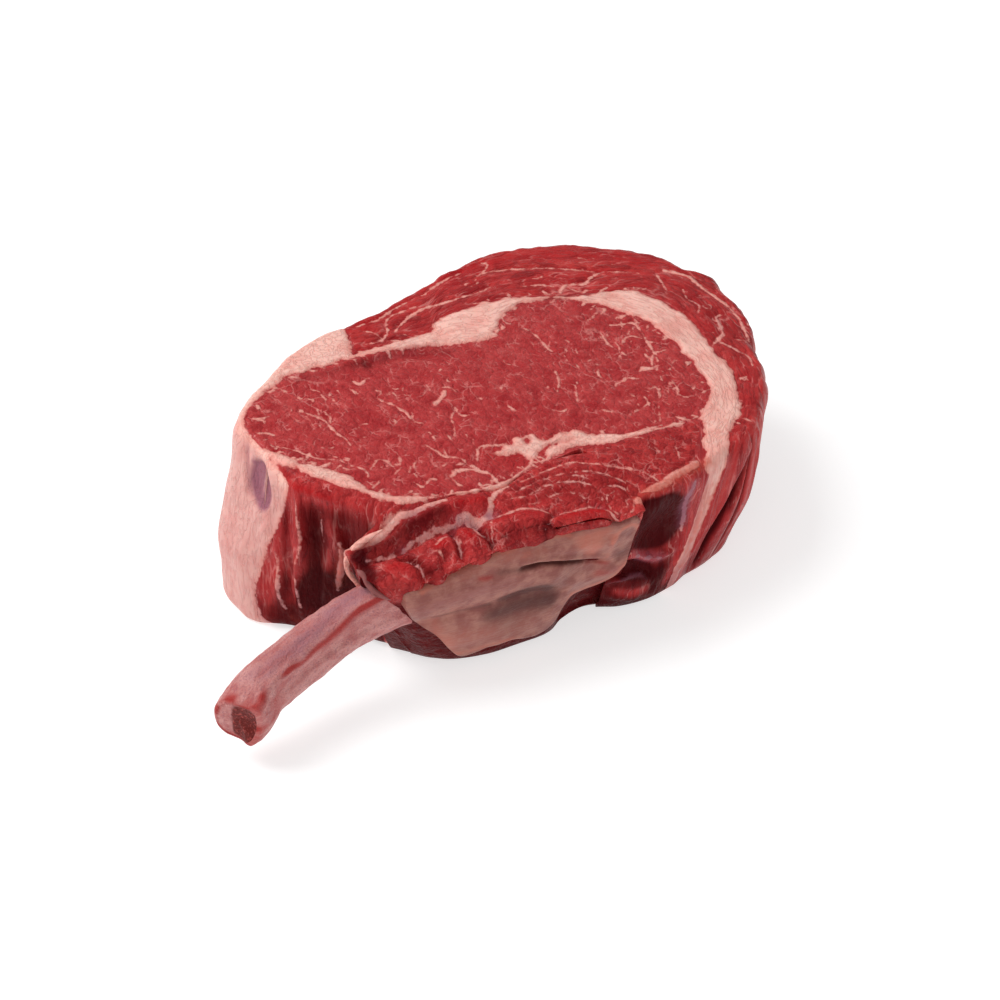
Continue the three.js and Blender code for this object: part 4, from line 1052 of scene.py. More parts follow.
def closed_mesh(name: str, grid: Array, look: Look) -> bpy.types.Object:
    """Makes an object from rings of points: neighbouring rings are joined and both ends closed.

    Each ring is closed, and each end is a fan to the ring's middle.

    Args:
        name: Name of the object.
        grid: Points by ring and place in the ring, in millimetres.
        look: What the finish reads, by ring and place.

    Returns:
        The object, with its place in its mesh, in metres.
    """
    rings, sides = grid.shape[:2]
    points = np.vstack([grid.reshape(-1, 3), grid[0].mean(0), grid[-1].mean(0)])
    ring, side = np.meshgrid(np.arange(rings - 1), np.arange(sides), indexing="ij")
    after = (side + 1) % sides
    quads = np.stack([ring * sides + side, ring * sides + after, (ring + 1) * sides + after,
                      (ring + 1) * sides + side], axis=-1).reshape(-1, 4)
    here = np.arange(sides)
    beyond = (here + 1) % sides
    last = (rings - 1) * sides
    centre = rings * sides
    fans = np.vstack([
        np.stack([np.full(sides, centre), beyond, here], axis=-1),
        np.stack([np.full(sides, centre + 1), last + here, last + beyond], axis=-1),
    ])
    triangles = np.vstack([quads[:, [0, 1, 2]], quads[:, [0, 2, 3]], fans])
    a, b, c = (points[triangles[:, k]] for k in range(3))
    if np.einsum("ij,ij->i", a, np.cross(b, c)).sum() < 0:
        quads, fans = quads[:, ::-1], fans[:, ::-1]
    mesh = bpy.data.meshes.new(name)
    mesh.from_pydata((points * METRES).tolist(), [], quads.tolist() + fans.tolist())
    mesh.shade_smooth()
    mesh.set_sharp_from_angle(angle=math.radians(60))
    for layer in ("fat", "tone", "tint"):
        values = getattr(look, layer).reshape(-1)
        values = np.append(values, [values[:sides].mean(), values[last:].mean()])
        mesh.attributes.new(layer, "FLOAT", "POINT").data.foreach_set("value", values.astype(np.float32))
    grain = look.grain.reshape(-1, 3)
    grain = np.vstack([grain, grain[:sides].mean(0), grain[last:].mean(0)])
    vectors = mesh.attributes.new("grain", "FLOAT_VECTOR", "POINT")
    vectors.data.foreach_set("vector", grain.astype(np.float32).reshape(-1))
    return linked(name, mesh)


class Piece:
    """A piece of the steak: a closed surface with a finish, which rides on the steak's one body."""

    name: str
    slot: str  # its material slot
    node: str  # CAD node that it replaces, empty for a piece that replaces none

    def surface(self) -> tuple[Array, Look]:
        """Works out the surface.

        Returns:
            Points by ring and place in the ring, and the look at each.
        """
        raise NotImplementedError

    def build(self, material: bpy.types.Material) -> None:
        """Builds and dresses the piece, puts it on the steak's body, hides the CAD node that it replaces, and
        reports it.

        Args:
            material: Its finish.
        """
        piece = closed_mesh(self.name, *self.surface())
        piece.data.materials.append(material)
        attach(piece, "root")
        if self.node:
            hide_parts(self.node)
        log.info("%s: %d faces, %s", piece.name, len(piece.data.polygons), self.slot)


@dataclass
class Side:
    """One side of a band of the slab, as columns from the cut face down to the underside."""

    points: Array  # by column and level
    run: Array  # along the rim, for the wall's look
    height: Array
    shown: Array  # 1 on the outer wall, 0 where a neighbour covers it


def level_shares() -> Array:
    """Shares of the height down a wall, closer together near both edges."""
    near = np.array([0.0, 0.3, 0.8, 1.4, 2.1, 2.9, 3.8, 4.8]) / 58
    middle = np.arange(5.6, 52, WALL_STEP) / 58
    foot = 1 - np.array([4.6, 3.6, 2.7, 1.9, 1.2, 0.6, 0.2, 0.0]) / 58
    return 1 - np.concatenate([near, middle, foot])


@dataclass
class SlabPiece(Piece):
    """A muscle or a fat that runs through the slab: a band between an inner and an outer side.

    The surface is a ring carried along the band. The ring goes over the cut face from the inner to the
    outer side, down the outer side, back along the underside and up the inner side.
    """

    node: str
    slot: str
    form: SteakForm
    inner: list[Array]  # stretches of the inner edge in plan
    outer: list[Array | tuple[float, float]]  # stretches in plan, or first and last row of the rim
    step: float = FACE_STEP
    strands: bool = False  # its grain on the cut face runs along the band
    levels: Array = field(default_factory=level_shares)

    @property
    def name(self) -> str:
        """The object's name."""
        return self.node + "_flesh"

    def _cut_side(self, edge: Array) -> Side:
        """A side inside the steak, which a neighbour covers."""
        points = self.form.inside_points(edge, self.levels)
        zero = np.zeros(points.shape[:2])
        return Side(points, zero, points[..., 2], zero)

    def _rim_side(self, rows: Array) -> Side:
        """A side on the steak's own wall."""
        points, run, height = self.form.wall_points(rows, self.levels)
        return Side(points, run, height, np.ones(points.shape[:2]))

    def _sides(self) -> tuple[Array, Side]:
        """The inner edge, and the outer side, with as many columns as the longer of each pair needs."""
        edges, sides = [], []
        for inner, outer in zip(self.inner, self.outer, strict=True):
            on_rim = isinstance(outer, tuple)
            length = self.form.rim.length(*outer) if on_rim else run_along(outer)[-1]
            count = max(3, round(max(run_along(inner)[-1], length) / self.step))
            edges.append(respaced(inner, count))
            if on_rim:
                sides.append(self._rim_side(self.form.rim.spaced(*outer, count)))
            else:
                sides.append(self._cut_side(respaced(outer, count)))
        parts = ("points", "run", "height", "shown")
        joined = Side(**{part: np.concatenate([getattr(side, part) for side in sides]) for part in parts})
        return np.concatenate(edges), joined

    def surface(self) -> tuple[Array, Look]:
        """The rings of the piece."""
        edge, side = self._sides()
        rise = self.form.inside_points(edge, np.linspace(0, 1, 9))
        start, top = rise[:, -1, :2], side.points[:, 0, :2]
        width = np.linalg.norm(top - start, axis=1).max()
        across = np.linspace(0, 1, max(6, round(width / self.step)))[None, :, None]
        plan = start[:, None, :] * (1 - across) + top[:, None, :] * across
        x, y = plan[..., 0], plan[..., 1]
        face = np.stack([x, y, self.form.face_height(x, y)], axis=-1)
        back = np.linspace(0, 1, 9)[None, 1:-1, None]
        foot = side.points[:, -1:] * (1 - back) + rise[:, :1] * back
        rise = rise[:, :-1]
        grid = np.concatenate([face, side.points[:, 1:], foot, rise], axis=1)
        look = self._look(face, side, foot, rise)
        if self.strands:
            look.grain[:] = self._strand_grain(grid, face)
        return grid, look

    @staticmethod
    def _strand_grain(grid: Array, face: Array) -> Array:
        """Grain whose strands are drawn out along the band, and down its walls."""
        along = run_along(face[:, face.shape[1] // 2])
        across = np.linalg.norm(grid[..., :2] - face[:, :1, :2], axis=-1)
        down = 0.07 * (grid[..., 2] - face[:, -1:, 2])
        down[:, : face.shape[1]] = 0
        return np.stack([np.broadcast_to(0.34 * along[:, None], across.shape), across, down], axis=-1)

    def _look(self, face: Array, side: Side, foot: Array, rise: Array) -> Look:
        """The look of each part of the ring, blended from the cut face to the wall over its edge."""
        down = (1 - self.levels)[None, 1:] * CUT_HEIGHT * np.ones_like(side.run[:, 1:])
        wall = self.form.wall_look(side.run[:, 1:], side.height[:, 1:])
        over = self.form.face_look(side.points[:, 1:, 0], side.points[:, 1:, 1], -down)
        share = ease(0.6, 3.6, down) * side.shown[:, 1:]
        looks = [
            self.form.face_look(face[..., 0], face[..., 1]),
            over.joined(wall, share),
            self.form.face_look(foot[..., 0], foot[..., 1]),
            self.form.face_look(rise[..., 0], rise[..., 1]),
        ]
        return Look(*(np.concatenate([getattr(look, part) for look in looks], axis=1)
                      for part in ("fat", "tone", "tint", "grain")))


def respaced(line: Array, count: int) -> Array:
    """The same line with a number of points at equal distances."""
    run = run_along(line)
    wanted = np.linspace(0, run[-1], count)
    return np.column_stack([np.interp(wanted, run, line[:, k]) for k in range(2)])


def plan_line(rows: Points, start: float, end: float, closed: bool = False) -> Array:
    """A smooth line in plan through rows of points, from one row number to another."""
    count = max(8, round(12 * abs(end - start)))
    return Curve(rows, closed).at(np.linspace(start, end, count))[:, :2]


def slab_pieces(form: SteakForm) -> list[SlabPiece]:
    """The six muscles and fats that run through the slab.

    Args:
        form: The steak's shared form.

    Returns:
        The pieces, not yet built.
    """
    count = len(EYE)
    eye_end = EYE_FRONT_RIGHT - count
    seam_last = len(SEAM_FRONT) - 1
    right_last = len(INNER_RIGHT) - 1
    rib_edge = plan_line(RIB_MEAT, 7, len(RIB_MEAT) - 1)
    ribeye = SlabPiece(
        "ribeye", "lean_meat", form,
        [plan_line(EYE, count, EYE_TIP_RIGHT, True)], [plan_line(EYE, 0, EYE_TIP_RIGHT, True)],
        step=EYE_STEP, levels=level_shares()[::3],
    )
    kernel = SlabPiece(
        "kernel_fat", "fat", form,
        [plan_line(EYE, EYE_BACK_LEFT, EYE_FRONT_RIGHT, True), plan_line(INNER_RIGHT, 0, right_last)],
        [plan_line(KERNEL_OUTER, 0, len(KERNEL_OUTER) - 1), (ROW_CAP_END, ROW_KERNEL_END)], strands=True,
    )
    side_fat = SlabPiece(
        "side_fat", "fat", form,
        [plan_line(EYE, EYE_BACK_LEFT, -1, True), plan_line(EYE, -1, eye_end, True)],
        [(ROW_CAP_START, ROW_STRAP_START), plan_line(SEAM_FRONT, 0, seam_last)],
    )
    cap = SlabPiece(
        "rib_cap", "cap_meat", form,
        [plan_line(KERNEL_OUTER, 0, len(KERNEL_OUTER) - 1)], [(ROW_CAP_START, ROW_CAP_END)], strands=True,
    )
    strap = SlabPiece(
        "side_strap", "cap_meat", form,
        [plan_line(SEAM_FRONT, 0, 4), plan_line(SEAM_FRONT, 4, SEAM_STRAP_END)],
        [(ROW_STRAP_START, ROW_STRAP_END), plan_line(((-50.5, -18.6), (-44, -19.5), (-37, -20.3)), 0, 2)],
    )
    inner_muscle = SlabPiece(
        "inner_muscle", "cap_meat", form,
        [plan_line(SEAM_FRONT, SEAM_INNER_START, seam_last), plan_line(INNER_RIGHT, 0, right_last)],
        [np.vstack([rib_edge, [[24, -32], [21, -38]]]), (ROW_INNER_END + 0.3, ROW_KERNEL_END)],
    )
    return [ribeye, kernel, side_fat, cap, strap, inner_muscle]


class RibMeat(Piece):
    """The meat on the rib: rings over its top, down its front, under it and up its inner side."""

    name = "rib_meat_flesh"
    slot = "cap_meat"
    node = "rib_meat"
    TOP = 56  # points over the top
    FRONT = 76  # and down the front
    LENGTH = 190  # rings
    END = 9  # rings that round off each end
    SKIRT = 1.6

    def __init__(self, form: SteakForm) -> None:
        """Keeps the steak's shared form."""
        self.form = form
        self.rows = Curve(RIB_MEAT)

    def top_height(self, x: Array, y: Array, across: Array) -> Array:
        """Height of the upper side, which falls from the cut face to the front."""
        return self.form.plain_face(x, y) - RIB_DROP_FRONT * across**2

    def front_points(self, place: Array, up: Array, out: Array | float = 0.0) -> Array:
        """Points on the front: between the outer edge and its foot, with a soft swell.

        Args:
            place: Share of the length of the rib meat.
            up: Share of the height.
            out: Distance proud of the meat.

        Returns:
            The points.
        """
        row = self.rows.at(place * (len(RIB_MEAT) - 1))
        x, y, foot_x, foot_y = row[..., 2], row[..., 3], row[..., 6], row[..., 7]
        height = self.top_height(x, y, np.ones_like(x))
        inset = drawn_in(RIB_EDGE, (1 - up) * height) + drawn_in(EDGE_FOOT, up * height)
        out = RIB_SWELL * np.sin(np.pi * up) + out - inset
        return np.stack([x + (foot_x - x) * (1 - up), y + (foot_y - y) * (1 - up) - out, up * height], -1)

    def surface(self) -> tuple[Array, Look]:
        """The rings of the rib meat, rounded off at both ends."""
        place = np.linspace(0, 1, self.LENGTH)[:, None]
        row = self.rows.at(place * (len(RIB_MEAT) - 1))
        across = np.concatenate([[-0.1, -0.05], np.linspace(0, 1, self.TOP, endpoint=False)])[None, :]
        x = row[..., 0] + (row[..., 2] - row[..., 0]) * across
        y = row[..., 1] + (row[..., 3] - row[..., 1]) * across
        under = self.SKIRT * ease(0, -0.1, across)  # the inner edge goes down under its neighbours
        z = self.top_height(x, y, across) + self.form.face_relief(x, y) - under
        top = np.stack([x, y, z], axis=-1)
        up = np.linspace(1, 0, self.FRONT)[None, :] ** 0.9
        front = self.front_points(*np.broadcast_arrays(place, up))
        fx, fz = front[..., 0], front[..., 2]
        relief = 0.45 * Mottle(21, 7).at(fx, fz) + 0.25 * Mottle(22, 2.5).at(fx, fz) - 0.6
        relief = relief - HOLLOW_UNDER_SKIN * ease(-2, 5, fx) * ease(17, 12, fz)
        front[..., 1] -= relief * ease(1, 0.9, up) * ease(0, 0.05, up)
        lobe = np.clip(self.form.face.read(HEIGHT, fx, row[..., 3] + 3.5), -1.5, 3)
        front[..., 1] -= 0.7 * lobe * ease(0.8, 0.97, up)
        over = self.form.face_relief(fx, front[..., 1] + 3) * ease(0.86, 1, up)
        front[..., 2] += over
        back_up = np.linspace(0, 1, 8)[None, :-1]
        bx = row[..., 4] + (x[:, :1] - row[..., 4]) * back_up
        by = row[..., 5] + (y[:, :1] - row[..., 5]) * back_up
        back = np.stack([bx, by, z[:, :1] * back_up], axis=-1)
        grid = np.concatenate([top, front, back], axis=1)
        grid = rounded_ends(grid, self.END, 1.6)
        x, y, z = (grid[..., k] for k in range(3))
        height = self.form.plain_face(x, y)
        look = self.form.face_look(x, y, 4 * (z - height))
        # painted shade: meat more than 6 to 14 mm below the cut face is drawn as dark lean
        low = ease(6, 14, height - z)
        under = Look(np.full_like(x, -6), np.full_like(x, -0.95), np.zeros_like(x), look.grain)
        return grid, look.joined(under, low)


def rounded_ends(grid: Array, count: int, bulge: float) -> Array:
    """Adds rings that shrink to each end ring's middle and swell out, as a quarter of an ellipse.

    Args:
        grid: Points by ring and place.
        count: Rings to add at each end.
        bulge: How far the end stands out.

    Returns:
        The rings with both ends rounded off.
    """
    turn = np.linspace(0, math.pi / 2, count + 2)[1:-1]
    ends = []
    for ring, sign in ((grid[0], -1.0), (grid[-1], 1.0)):
        middle = ring.mean(0)
        away = np.array([sign * bulge, 0, 0])
        ends.append(np.stack([middle + (ring - middle) * math.cos(t) + away * math.sin(t) for t in turn]))
    return np.concatenate([ends[0][::-1], grid, ends[1]])


# ---- skin and bone ----

# What is drawn on the skin: places are x and height.
SKIN_CREASE: Points = ((-17.5, 37.5), (-13.5, 37.8), (-8.5, 36.6), (-2, 34.6), (5, 31.4), (13, 28))
SKIN_PATCHES: Marks = (
    # dark middle
    (TONE, -0.45, 8, (-24, 25), (-10, 30), (2, 28), (8, 24), (4, 18), (-4, 8), (-16, 8), (-26, 16)),
    # salmon fat at the upper edge
    (TINT, -0.8, 2.5, (-1, 44), (4.5, 44), (9, 43), (9.5, 36), (5.5, 34), (1.5, 38.5)),
    # oval window at the right end
    (TONE, -0.35, 2, (13.4, 39.5), (17, 41.5), (20.5, 38), (20.6, 30), (17.5, 25), (13.8, 31)),
    (HEIGHT, -0.3, 1.5, (13.4, 39.5), (17, 41.5), (20.5, 38), (20.6, 30), (17.5, 25), (13.8, 31)),
)
SKIN_STROKES: Marks = (
    # the rib bulges under the skin, over a fold that runs the whole way, with painted shade in the fold and
    # along the crease above it
    (HEIGHT, 5.5, 1.6, (-54, 32), (-42, 34), (-28, 34.5), (-16, 34), (-6, 31.5)),
    (HEIGHT, 2, -0.9, (-50, 25), (-38, 26), (-26, 26), (-14, 26), (-2, 22)),
    (HEIGHT, 6, 0.7, (-40, 14), (-28, 15), (-14, 14), (-6, 13)),
    (HEIGHT, 2.6, 1, (-14, 41), (-4, 40.5), (6, 38.5), (12, 37)),
    (HEIGHT, 3.2, 0.9, (2, 24), (10, 22.5), (17, 24)),
    (TONE, 1.4, -0.5, (-24, 39), (-19, 38), (-13, 37)),
    (TONE, 3, -0.5, (-26, 22), (-14, 22), (-6, 20)),
    (TONE, 0.9, -0.5, (-44, 27.5), (-36, 26.5), (-26, 26)),
    # pale mauve over the rib, warm brown below, salmon along the edges
    (TINT, 4, 0.45, (-48, 33), (-40, 35), (-32, 35), (-22, 34)),
    (TINT, 7, -0.4, (-36, 14), (-26, 14), (-16, 13)),
    (TINT, 2.4, -0.35, (-40, 39.5), (-30, 41.7), (-20, 42.8), (-10, 42.2)),
    (TINT, 0.9, -0.9, (-48, 39.5), (-36, 43.2), (-26, 44.8), (-14, 46), (-2, 45.4)),
    (TINT, 1.8, -0.5, (11, 43), (12.8, 37), (12, 31)),
    (TINT, 1.4, -0.8, (2.5, 17.5), (9, 17.4), (15.6, 17.6), (19, 23)),
    (TINT, 1.4, -0.5, (-2.5, 7), (0.5, 12), (1, 16)),
    (TINT, 3, -0.4, (-44, 26), (-41.6, 21), (-39.1, 13.5), (-36, 6)),
    (TONE, 4, 0.3, (-10, 12), (-2, 14), (2, 22), (10, 25)),
    (TONE, 4.5, 0.28, (7, 34), (12, 33), (17, 34)),
    (TONE, 5, -0.3, (0, 34), (8, 32), (16, 30)),
    (TINT, 1.2, -0.5, (-34, 6), (-24, 7.4), (-14, 6)),
    (TONE, 1.8, 0.6, (10, 24), (15, 22), (18.5, 25)),
    # oval window at the right end
    (TINT, 0.9, -0.9, (12.6, 38), (15, 42), (19, 42), (22, 37), (21.6, 28), (18, 23)),
)
SKIN_FINE: Marks = (  # strokes that thin out to both ends; the dark ones are painted shade in the crease and along the fold
    (HEIGHT, 0.8, -2, *SKIN_CREASE),
    (HEIGHT, 1.2, 0.9, *((x, z + 1.8) for x, z in SKIN_CREASE)),
    (TONE, 0.7, -1.6, *SKIN_CREASE),
    (TONE, 1.6, -1, (-24, 26.6), (-18, 27), (-13, 27.2), (-9, 26.6), (-5, 24)),
    (TONE, 1.1, 0.9, (-31.5, 39.5), (-28.5, 38.4), (-25.5, 38)),
    (TONE, 1.3, 1.2, (4.8, 30.6), (8.6, 29.9), (14, 26.5)),
)


class Membrane(Piece):
    """The skin on the front of the rib meat: a thin plate with rolled edges."""

    name = "rib_membrane_skin"
    slot = "membrane"
    node = "rib_membrane"
    LENGTH = 190
    UP = 110  # points up the front

    def __init__(self, meat: RibMeat) -> None:
        """Keeps the rib meat that the skin lies on, and draws the skin's chart."""
        self.meat = meat
        self.chart = Chart((-66, -4), (30, 60), FACE_STEP)
        self.chart.draw(*patches(SKIN_PATCHES), *strokes(SKIN_STROKES), *strokes(SKIN_FINE, True))

    def surface(self) -> tuple[Array, Look]:
        """Rings round the plate: up its front and down behind it."""
        edge = Curve(MEMBRANE_EDGE).at(np.linspace(0, len(MEMBRANE_EDGE) - 1, self.LENGTH))
        share = edge[:, :1]
        wave = 0.012 * Mottle(31, 0.05).at(edge[:, 0], edge[:, 0] * 0)
        low, high = edge[:, 1:2] + wave[:, None], edge[:, 2:3] + 0.5 * wave[:, None]
        t = np.linspace(0, 1, self.UP)[None, :]
        up = low + (high - low) * t
        lift = np.sqrt(np.clip(np.minimum(t / 0.03, (1 - t) / 0.03), 0, 1))
        place = np.linspace(0, 1, self.LENGTH)[:, None]
        ends = np.clip(np.minimum(place, 1 - place) / 0.02, 0, 1)
        flat = self.meat.front_points(*np.broadcast_arrays(share, up))
        x, z = flat[..., 0], flat[..., 2]
        relief = self.chart.read(HEIGHT, x, z) + 0.35 * Mottle(32, 9).at(x, z)
        relief = relief + 0.12 * Mottle(33, 2.4).at(x, z)
        proud = (MEMBRANE_PROUD + 0.6) * lift * np.sqrt(ends) - 0.8 + relief * lift
        front = self.meat.front_points(*np.broadcast_arrays(share, up), proud + 0.4)
        behind = self.meat.front_points(*np.broadcast_arrays(share, up), -2.2)[:, ::-1][:, ::6]
        grid = np.concatenate([front, behind], axis=1)
        x, z = grid[..., 0], grid[..., 2]
        inside = np.concatenate([lift * 1.0, np.zeros(behind.shape[:2])[:1]], axis=1)
        grain = np.stack([x, z, np.zeros_like(x)], axis=-1)
        tone, tint = self.chart.read(TONE, x, z), self.chart.read(TINT, x, z)
        return grid, Look(np.broadcast_to(inside, x.shape).copy(), tone, tint, grain)


class RibBone(Piece):
    """The rib: a tall oval section with a ridge, carried along its bowed centre line."""

    name = "rib_bone_scraped"
    slot = "bone"
    node = "rib_bone"
    SIDES = 150
    LENGTH = 340
    END = 26  # rings over the sawn end
    RAKE = 4.6  # the saw cut faces the near side by this much across the bone
    BACK = 1.1  # and is set back by this much
    LIP = 2.4
    # Place along the bone of its red ridge, and the ridge's turn round the section.
    RIDGE: Points = (
        (-100, 0.78), (-91, 0.53), (-85, 0.48), (-76, 0.52), (-69, 0.69), (-62, 0.85), (-50, 0.85),
    )

    def surface(self) -> tuple[Array, Look]:
        """Rings along the bone, with rings that close the sawn end."""
        curve = Curve(RIB_BONE)
        place = np.linspace(0, len(RIB_BONE) - 1, self.LENGTH)
        row = curve.at(place)
        run = curve.at(np.minimum(place + 0.01, len(RIB_BONE) - 1)) - curve.at(np.maximum(place - 0.01, 0))
        run = run[:, :3] / np.linalg.norm(run[:, :3], axis=1, keepdims=True)
        side = np.stack([run[:, 1], -run[:, 0], np.zeros(len(run))], axis=-1)
        side /= np.linalg.norm(side, axis=1, keepdims=True)
        rise = np.cross(side, run)
        rise *= np.sign(rise[:, 2:])
        angle = np.linspace(0, 2 * np.pi, self.SIDES, endpoint=False)
        across = np.sign(np.cos(angle)) * np.abs(np.cos(angle)) ** 0.8
        tall = np.sign(np.sin(angle)) * np.abs(np.sin(angle)) ** 0.8
        along = row[:, :1]
        bump = 1.0 * bell(angle[None, :] - np.interp(along, *np.transpose(self.RIDGE)), 0.34)
        bump = bump + 0.35 * Mottle(41, 9).at(along, 8 * angle[None, :]) * ease(0, 10, along + 108)
        bump = bump + 0.16 * Mottle(42, 1.5).at(along * 0.7, 8 * angle[None, :])
        bump = bump - 0.5 * bell(angle - 0.1, 0.35)[None, :] * ease(-100, -85, along)
        bump = bump + 1.7 * bell(angle - 5.4, 0.45)[None, :] * ease(-94, -106, along)  # the end's corner
        half = row[:, 4:5] * across[None, :] + bump * np.sign(across) * np.abs(across)
        slim = 1 - 0.24 * ease(-84, -62, along) * ease(0, -0.6, tall)[None, :]  # its lower side near the meat
        half_tall = row[:, 3:4] * tall[None, :] * slim + bump * np.sign(tall) * np.abs(tall)
        grid = row[:, None, :3] + half[..., None] * side[:, None, :] + half_tall[..., None] * rise[:, None, :]
        near = bell(np.maximum(along + 108, 0), 7.0)
        lip = bell(angle - 5.4, 0.42)
        grid[..., 0] += near * (self.RAKE * (0.8 * tall + across) / 2 + self.BACK - self.LIP * lip)[None, :]
        scale = 1 - 0.16 * (1 - np.sqrt(np.linspace(0, 1, 5)))
        grid[:5] = row[:5, None, :3] + (grid[:5] - row[:5, None, :3]) * scale[:, None, None]
        end = self._end_rings(grid[0])
        x = np.concatenate([np.full((self.END, self.SIDES), -109.0), np.broadcast_to(along, grid.shape[:2])])
        around = np.broadcast_to(angle[None, :], x.shape)
        reach = np.concatenate([np.broadcast_to(self._reach()[:, None], (self.END, self.SIDES)),
                                np.full(grid.shape[:2], 2.0)])
        whole = np.concatenate([end, grid])
        return whole, self._look(whole, x, around, reach)

    def _reach(self) -> Array:
        """Distance of each ring of the sawn end from its middle, as a share."""
        return np.linspace(0.03, 0.97, self.END)

    def _end_rings(self, ring: Array) -> Array:
        """Rings over the sawn end: scaled copies of its outline, hollow where the marrow is."""
        middle = ring.mean(0)
        reach = self._reach()[:, None, None]
        rings = middle + (ring - middle)[None] * reach
        y, z = rings[..., 1], rings[..., 2]
        hollow = 1.1 * np.exp(-(((y - middle[1] + 1.8) / 3.0) ** 2) - ((z - middle[2]) / 4.6) ** 2)
        rough = 0.35 * Mottle(43, 1.3).at(y, z)
        rings[..., 0] += hollow + rough * (1 - reach[..., 0]) ** 0.5
        return rings

    def _look(self, points: Array, x: Array, angle: Array, reach: Array) -> Look:
        """The look of the bone: a red line along its ridge, lilac above it, marrow at the sawn end."""
        away = angle - np.interp(x, *np.transpose(self.RIDGE)) - 0.06 * Mottle(44, 5).at(x, x * 0)
        broken = 0.55 + 0.45 * Mottle(45, 6).at(x, angle)
        ridge = bell(away, 0.13) * broken + 0.5 * bell(away + 0.1, 0.3) * bell(x + 70, 13)
        ridge = ridge * ease(-106, -96, x) + 0.4 * bell(away, 0.5) * ease(-96, -104, x)
        lilac = bell(away - 0.65, 0.5) * ease(-106, -95, x)
        middle = points[: self.END].mean((0, 1))
        y, z = points[..., 1], points[..., 2]
        ragged = 0.7 * Mottle(46, 1.6).at(y, z)
        marrow = np.exp(-(((y - middle[1] + 2.1 + ragged) / 3.7) ** 4) - ((z - middle[2] + 0.2) / 6.6) ** 4)
        marrow = np.where(reach <= 1, marrow, 0)
        rim = np.where(reach <= 1, ease(0.72, 1, reach), 0)
        rim = rim + np.where(reach > 1, bell(x + 109, 2.2), 0)
        far_end = ease(-84, -106, x) * np.where(reach > 1, 1, 0)
        patchy = ease(-0.5, 0.5, Mottle(47, 3).at(y, z))
        tone = 1.1 * ridge - 0.4 * marrow + (0.8 * rim + 0.7 * far_end) * patchy
        tint = 0.65 * lilac - 0.5 * rim - 0.2 * bell(angle - 5.2, 0.8) + 0.3 * far_end * (1 - patchy)
        tint = tint - 0.4 * ease(-86, -100, x) * np.where(reach > 1, 1, 0)
        grain = np.stack([0.35 * x, 7 * np.cos(angle), 7 * np.sin(angle)], axis=-1)
        grain = np.where((reach <= 1)[..., None], np.stack([0 * x, y, z], axis=-1), grain)
        return Look(marrow, tone, tint, grain)


@dataclass(frozen=True)
class Strip(Piece):
    """A strip of fat or torn skin that lies on the steak: an uneven round section along a line."""

    name: str
    slot: str
    line: Points  # place and half width
    fat: float
    tone: float
    tint: float
    seed: int

    node = ""
    SIDES = 28
    LENGTH = 110

    def surface(self) -> tuple[Array, Look]:
        """Rings along the strip, which shrink to nothing at both ends."""
        curve = Curve(self.line)
        place = np.linspace(0, len(self.line) - 1, self.LENGTH)
        row = curve.at(place)
        run = np.gradient(row[:, :3], axis=0)
        run /= np.linalg.norm(run, axis=1, keepdims=True)
        side = np.cross(run, [0.3, -0.6, 0.74])
        side /= np.linalg.norm(side, axis=1, keepdims=True)
        rise = np.cross(side, run)
        angle = np.linspace(0, 2 * np.pi, self.SIDES, endpoint=False)
        share = place / place[-1]
        half = row[:, 3] * np.sqrt(np.clip(8 * np.minimum(share, 1 - share), 0.001, 1))
        lump = 1 + 0.35 * Mottle(self.seed, 1.3).at(2.2 * place[:, None], 1.1 * angle[None, :])
        reach = half[:, None] * lump
        offset = (reach * np.cos(angle))[..., None] * side[:, None, :]
        offset = offset + (0.8 * reach * np.sin(angle))[..., None] * rise[:, None, :]
        grid = row[:, None, :3] + offset
        full = np.ones(grid.shape[:2])
        grain = np.stack([0.5 * grid[..., 0], grid[..., 1], grid[..., 2]], axis=-1)
        return grid, Look(self.fat * full, self.tone * full, self.tint * full, grain)


# ---- finishes ----


def linear(red: int, green: int, blue: int) -> tuple[float, float, float, float]:
    """A colour as Blender's shaders take it, from its three values out of 255 on a screen."""
    parts = [((c / 255 + 0.055) / 1.055) ** 2.4 if c > 10 else c / 255 / 12.92 for c in (red, green, blue)]
    return (*parts, 1.0)


Colour = tuple[float, float, float, float]
Socket = bpy.types.NodeSocket


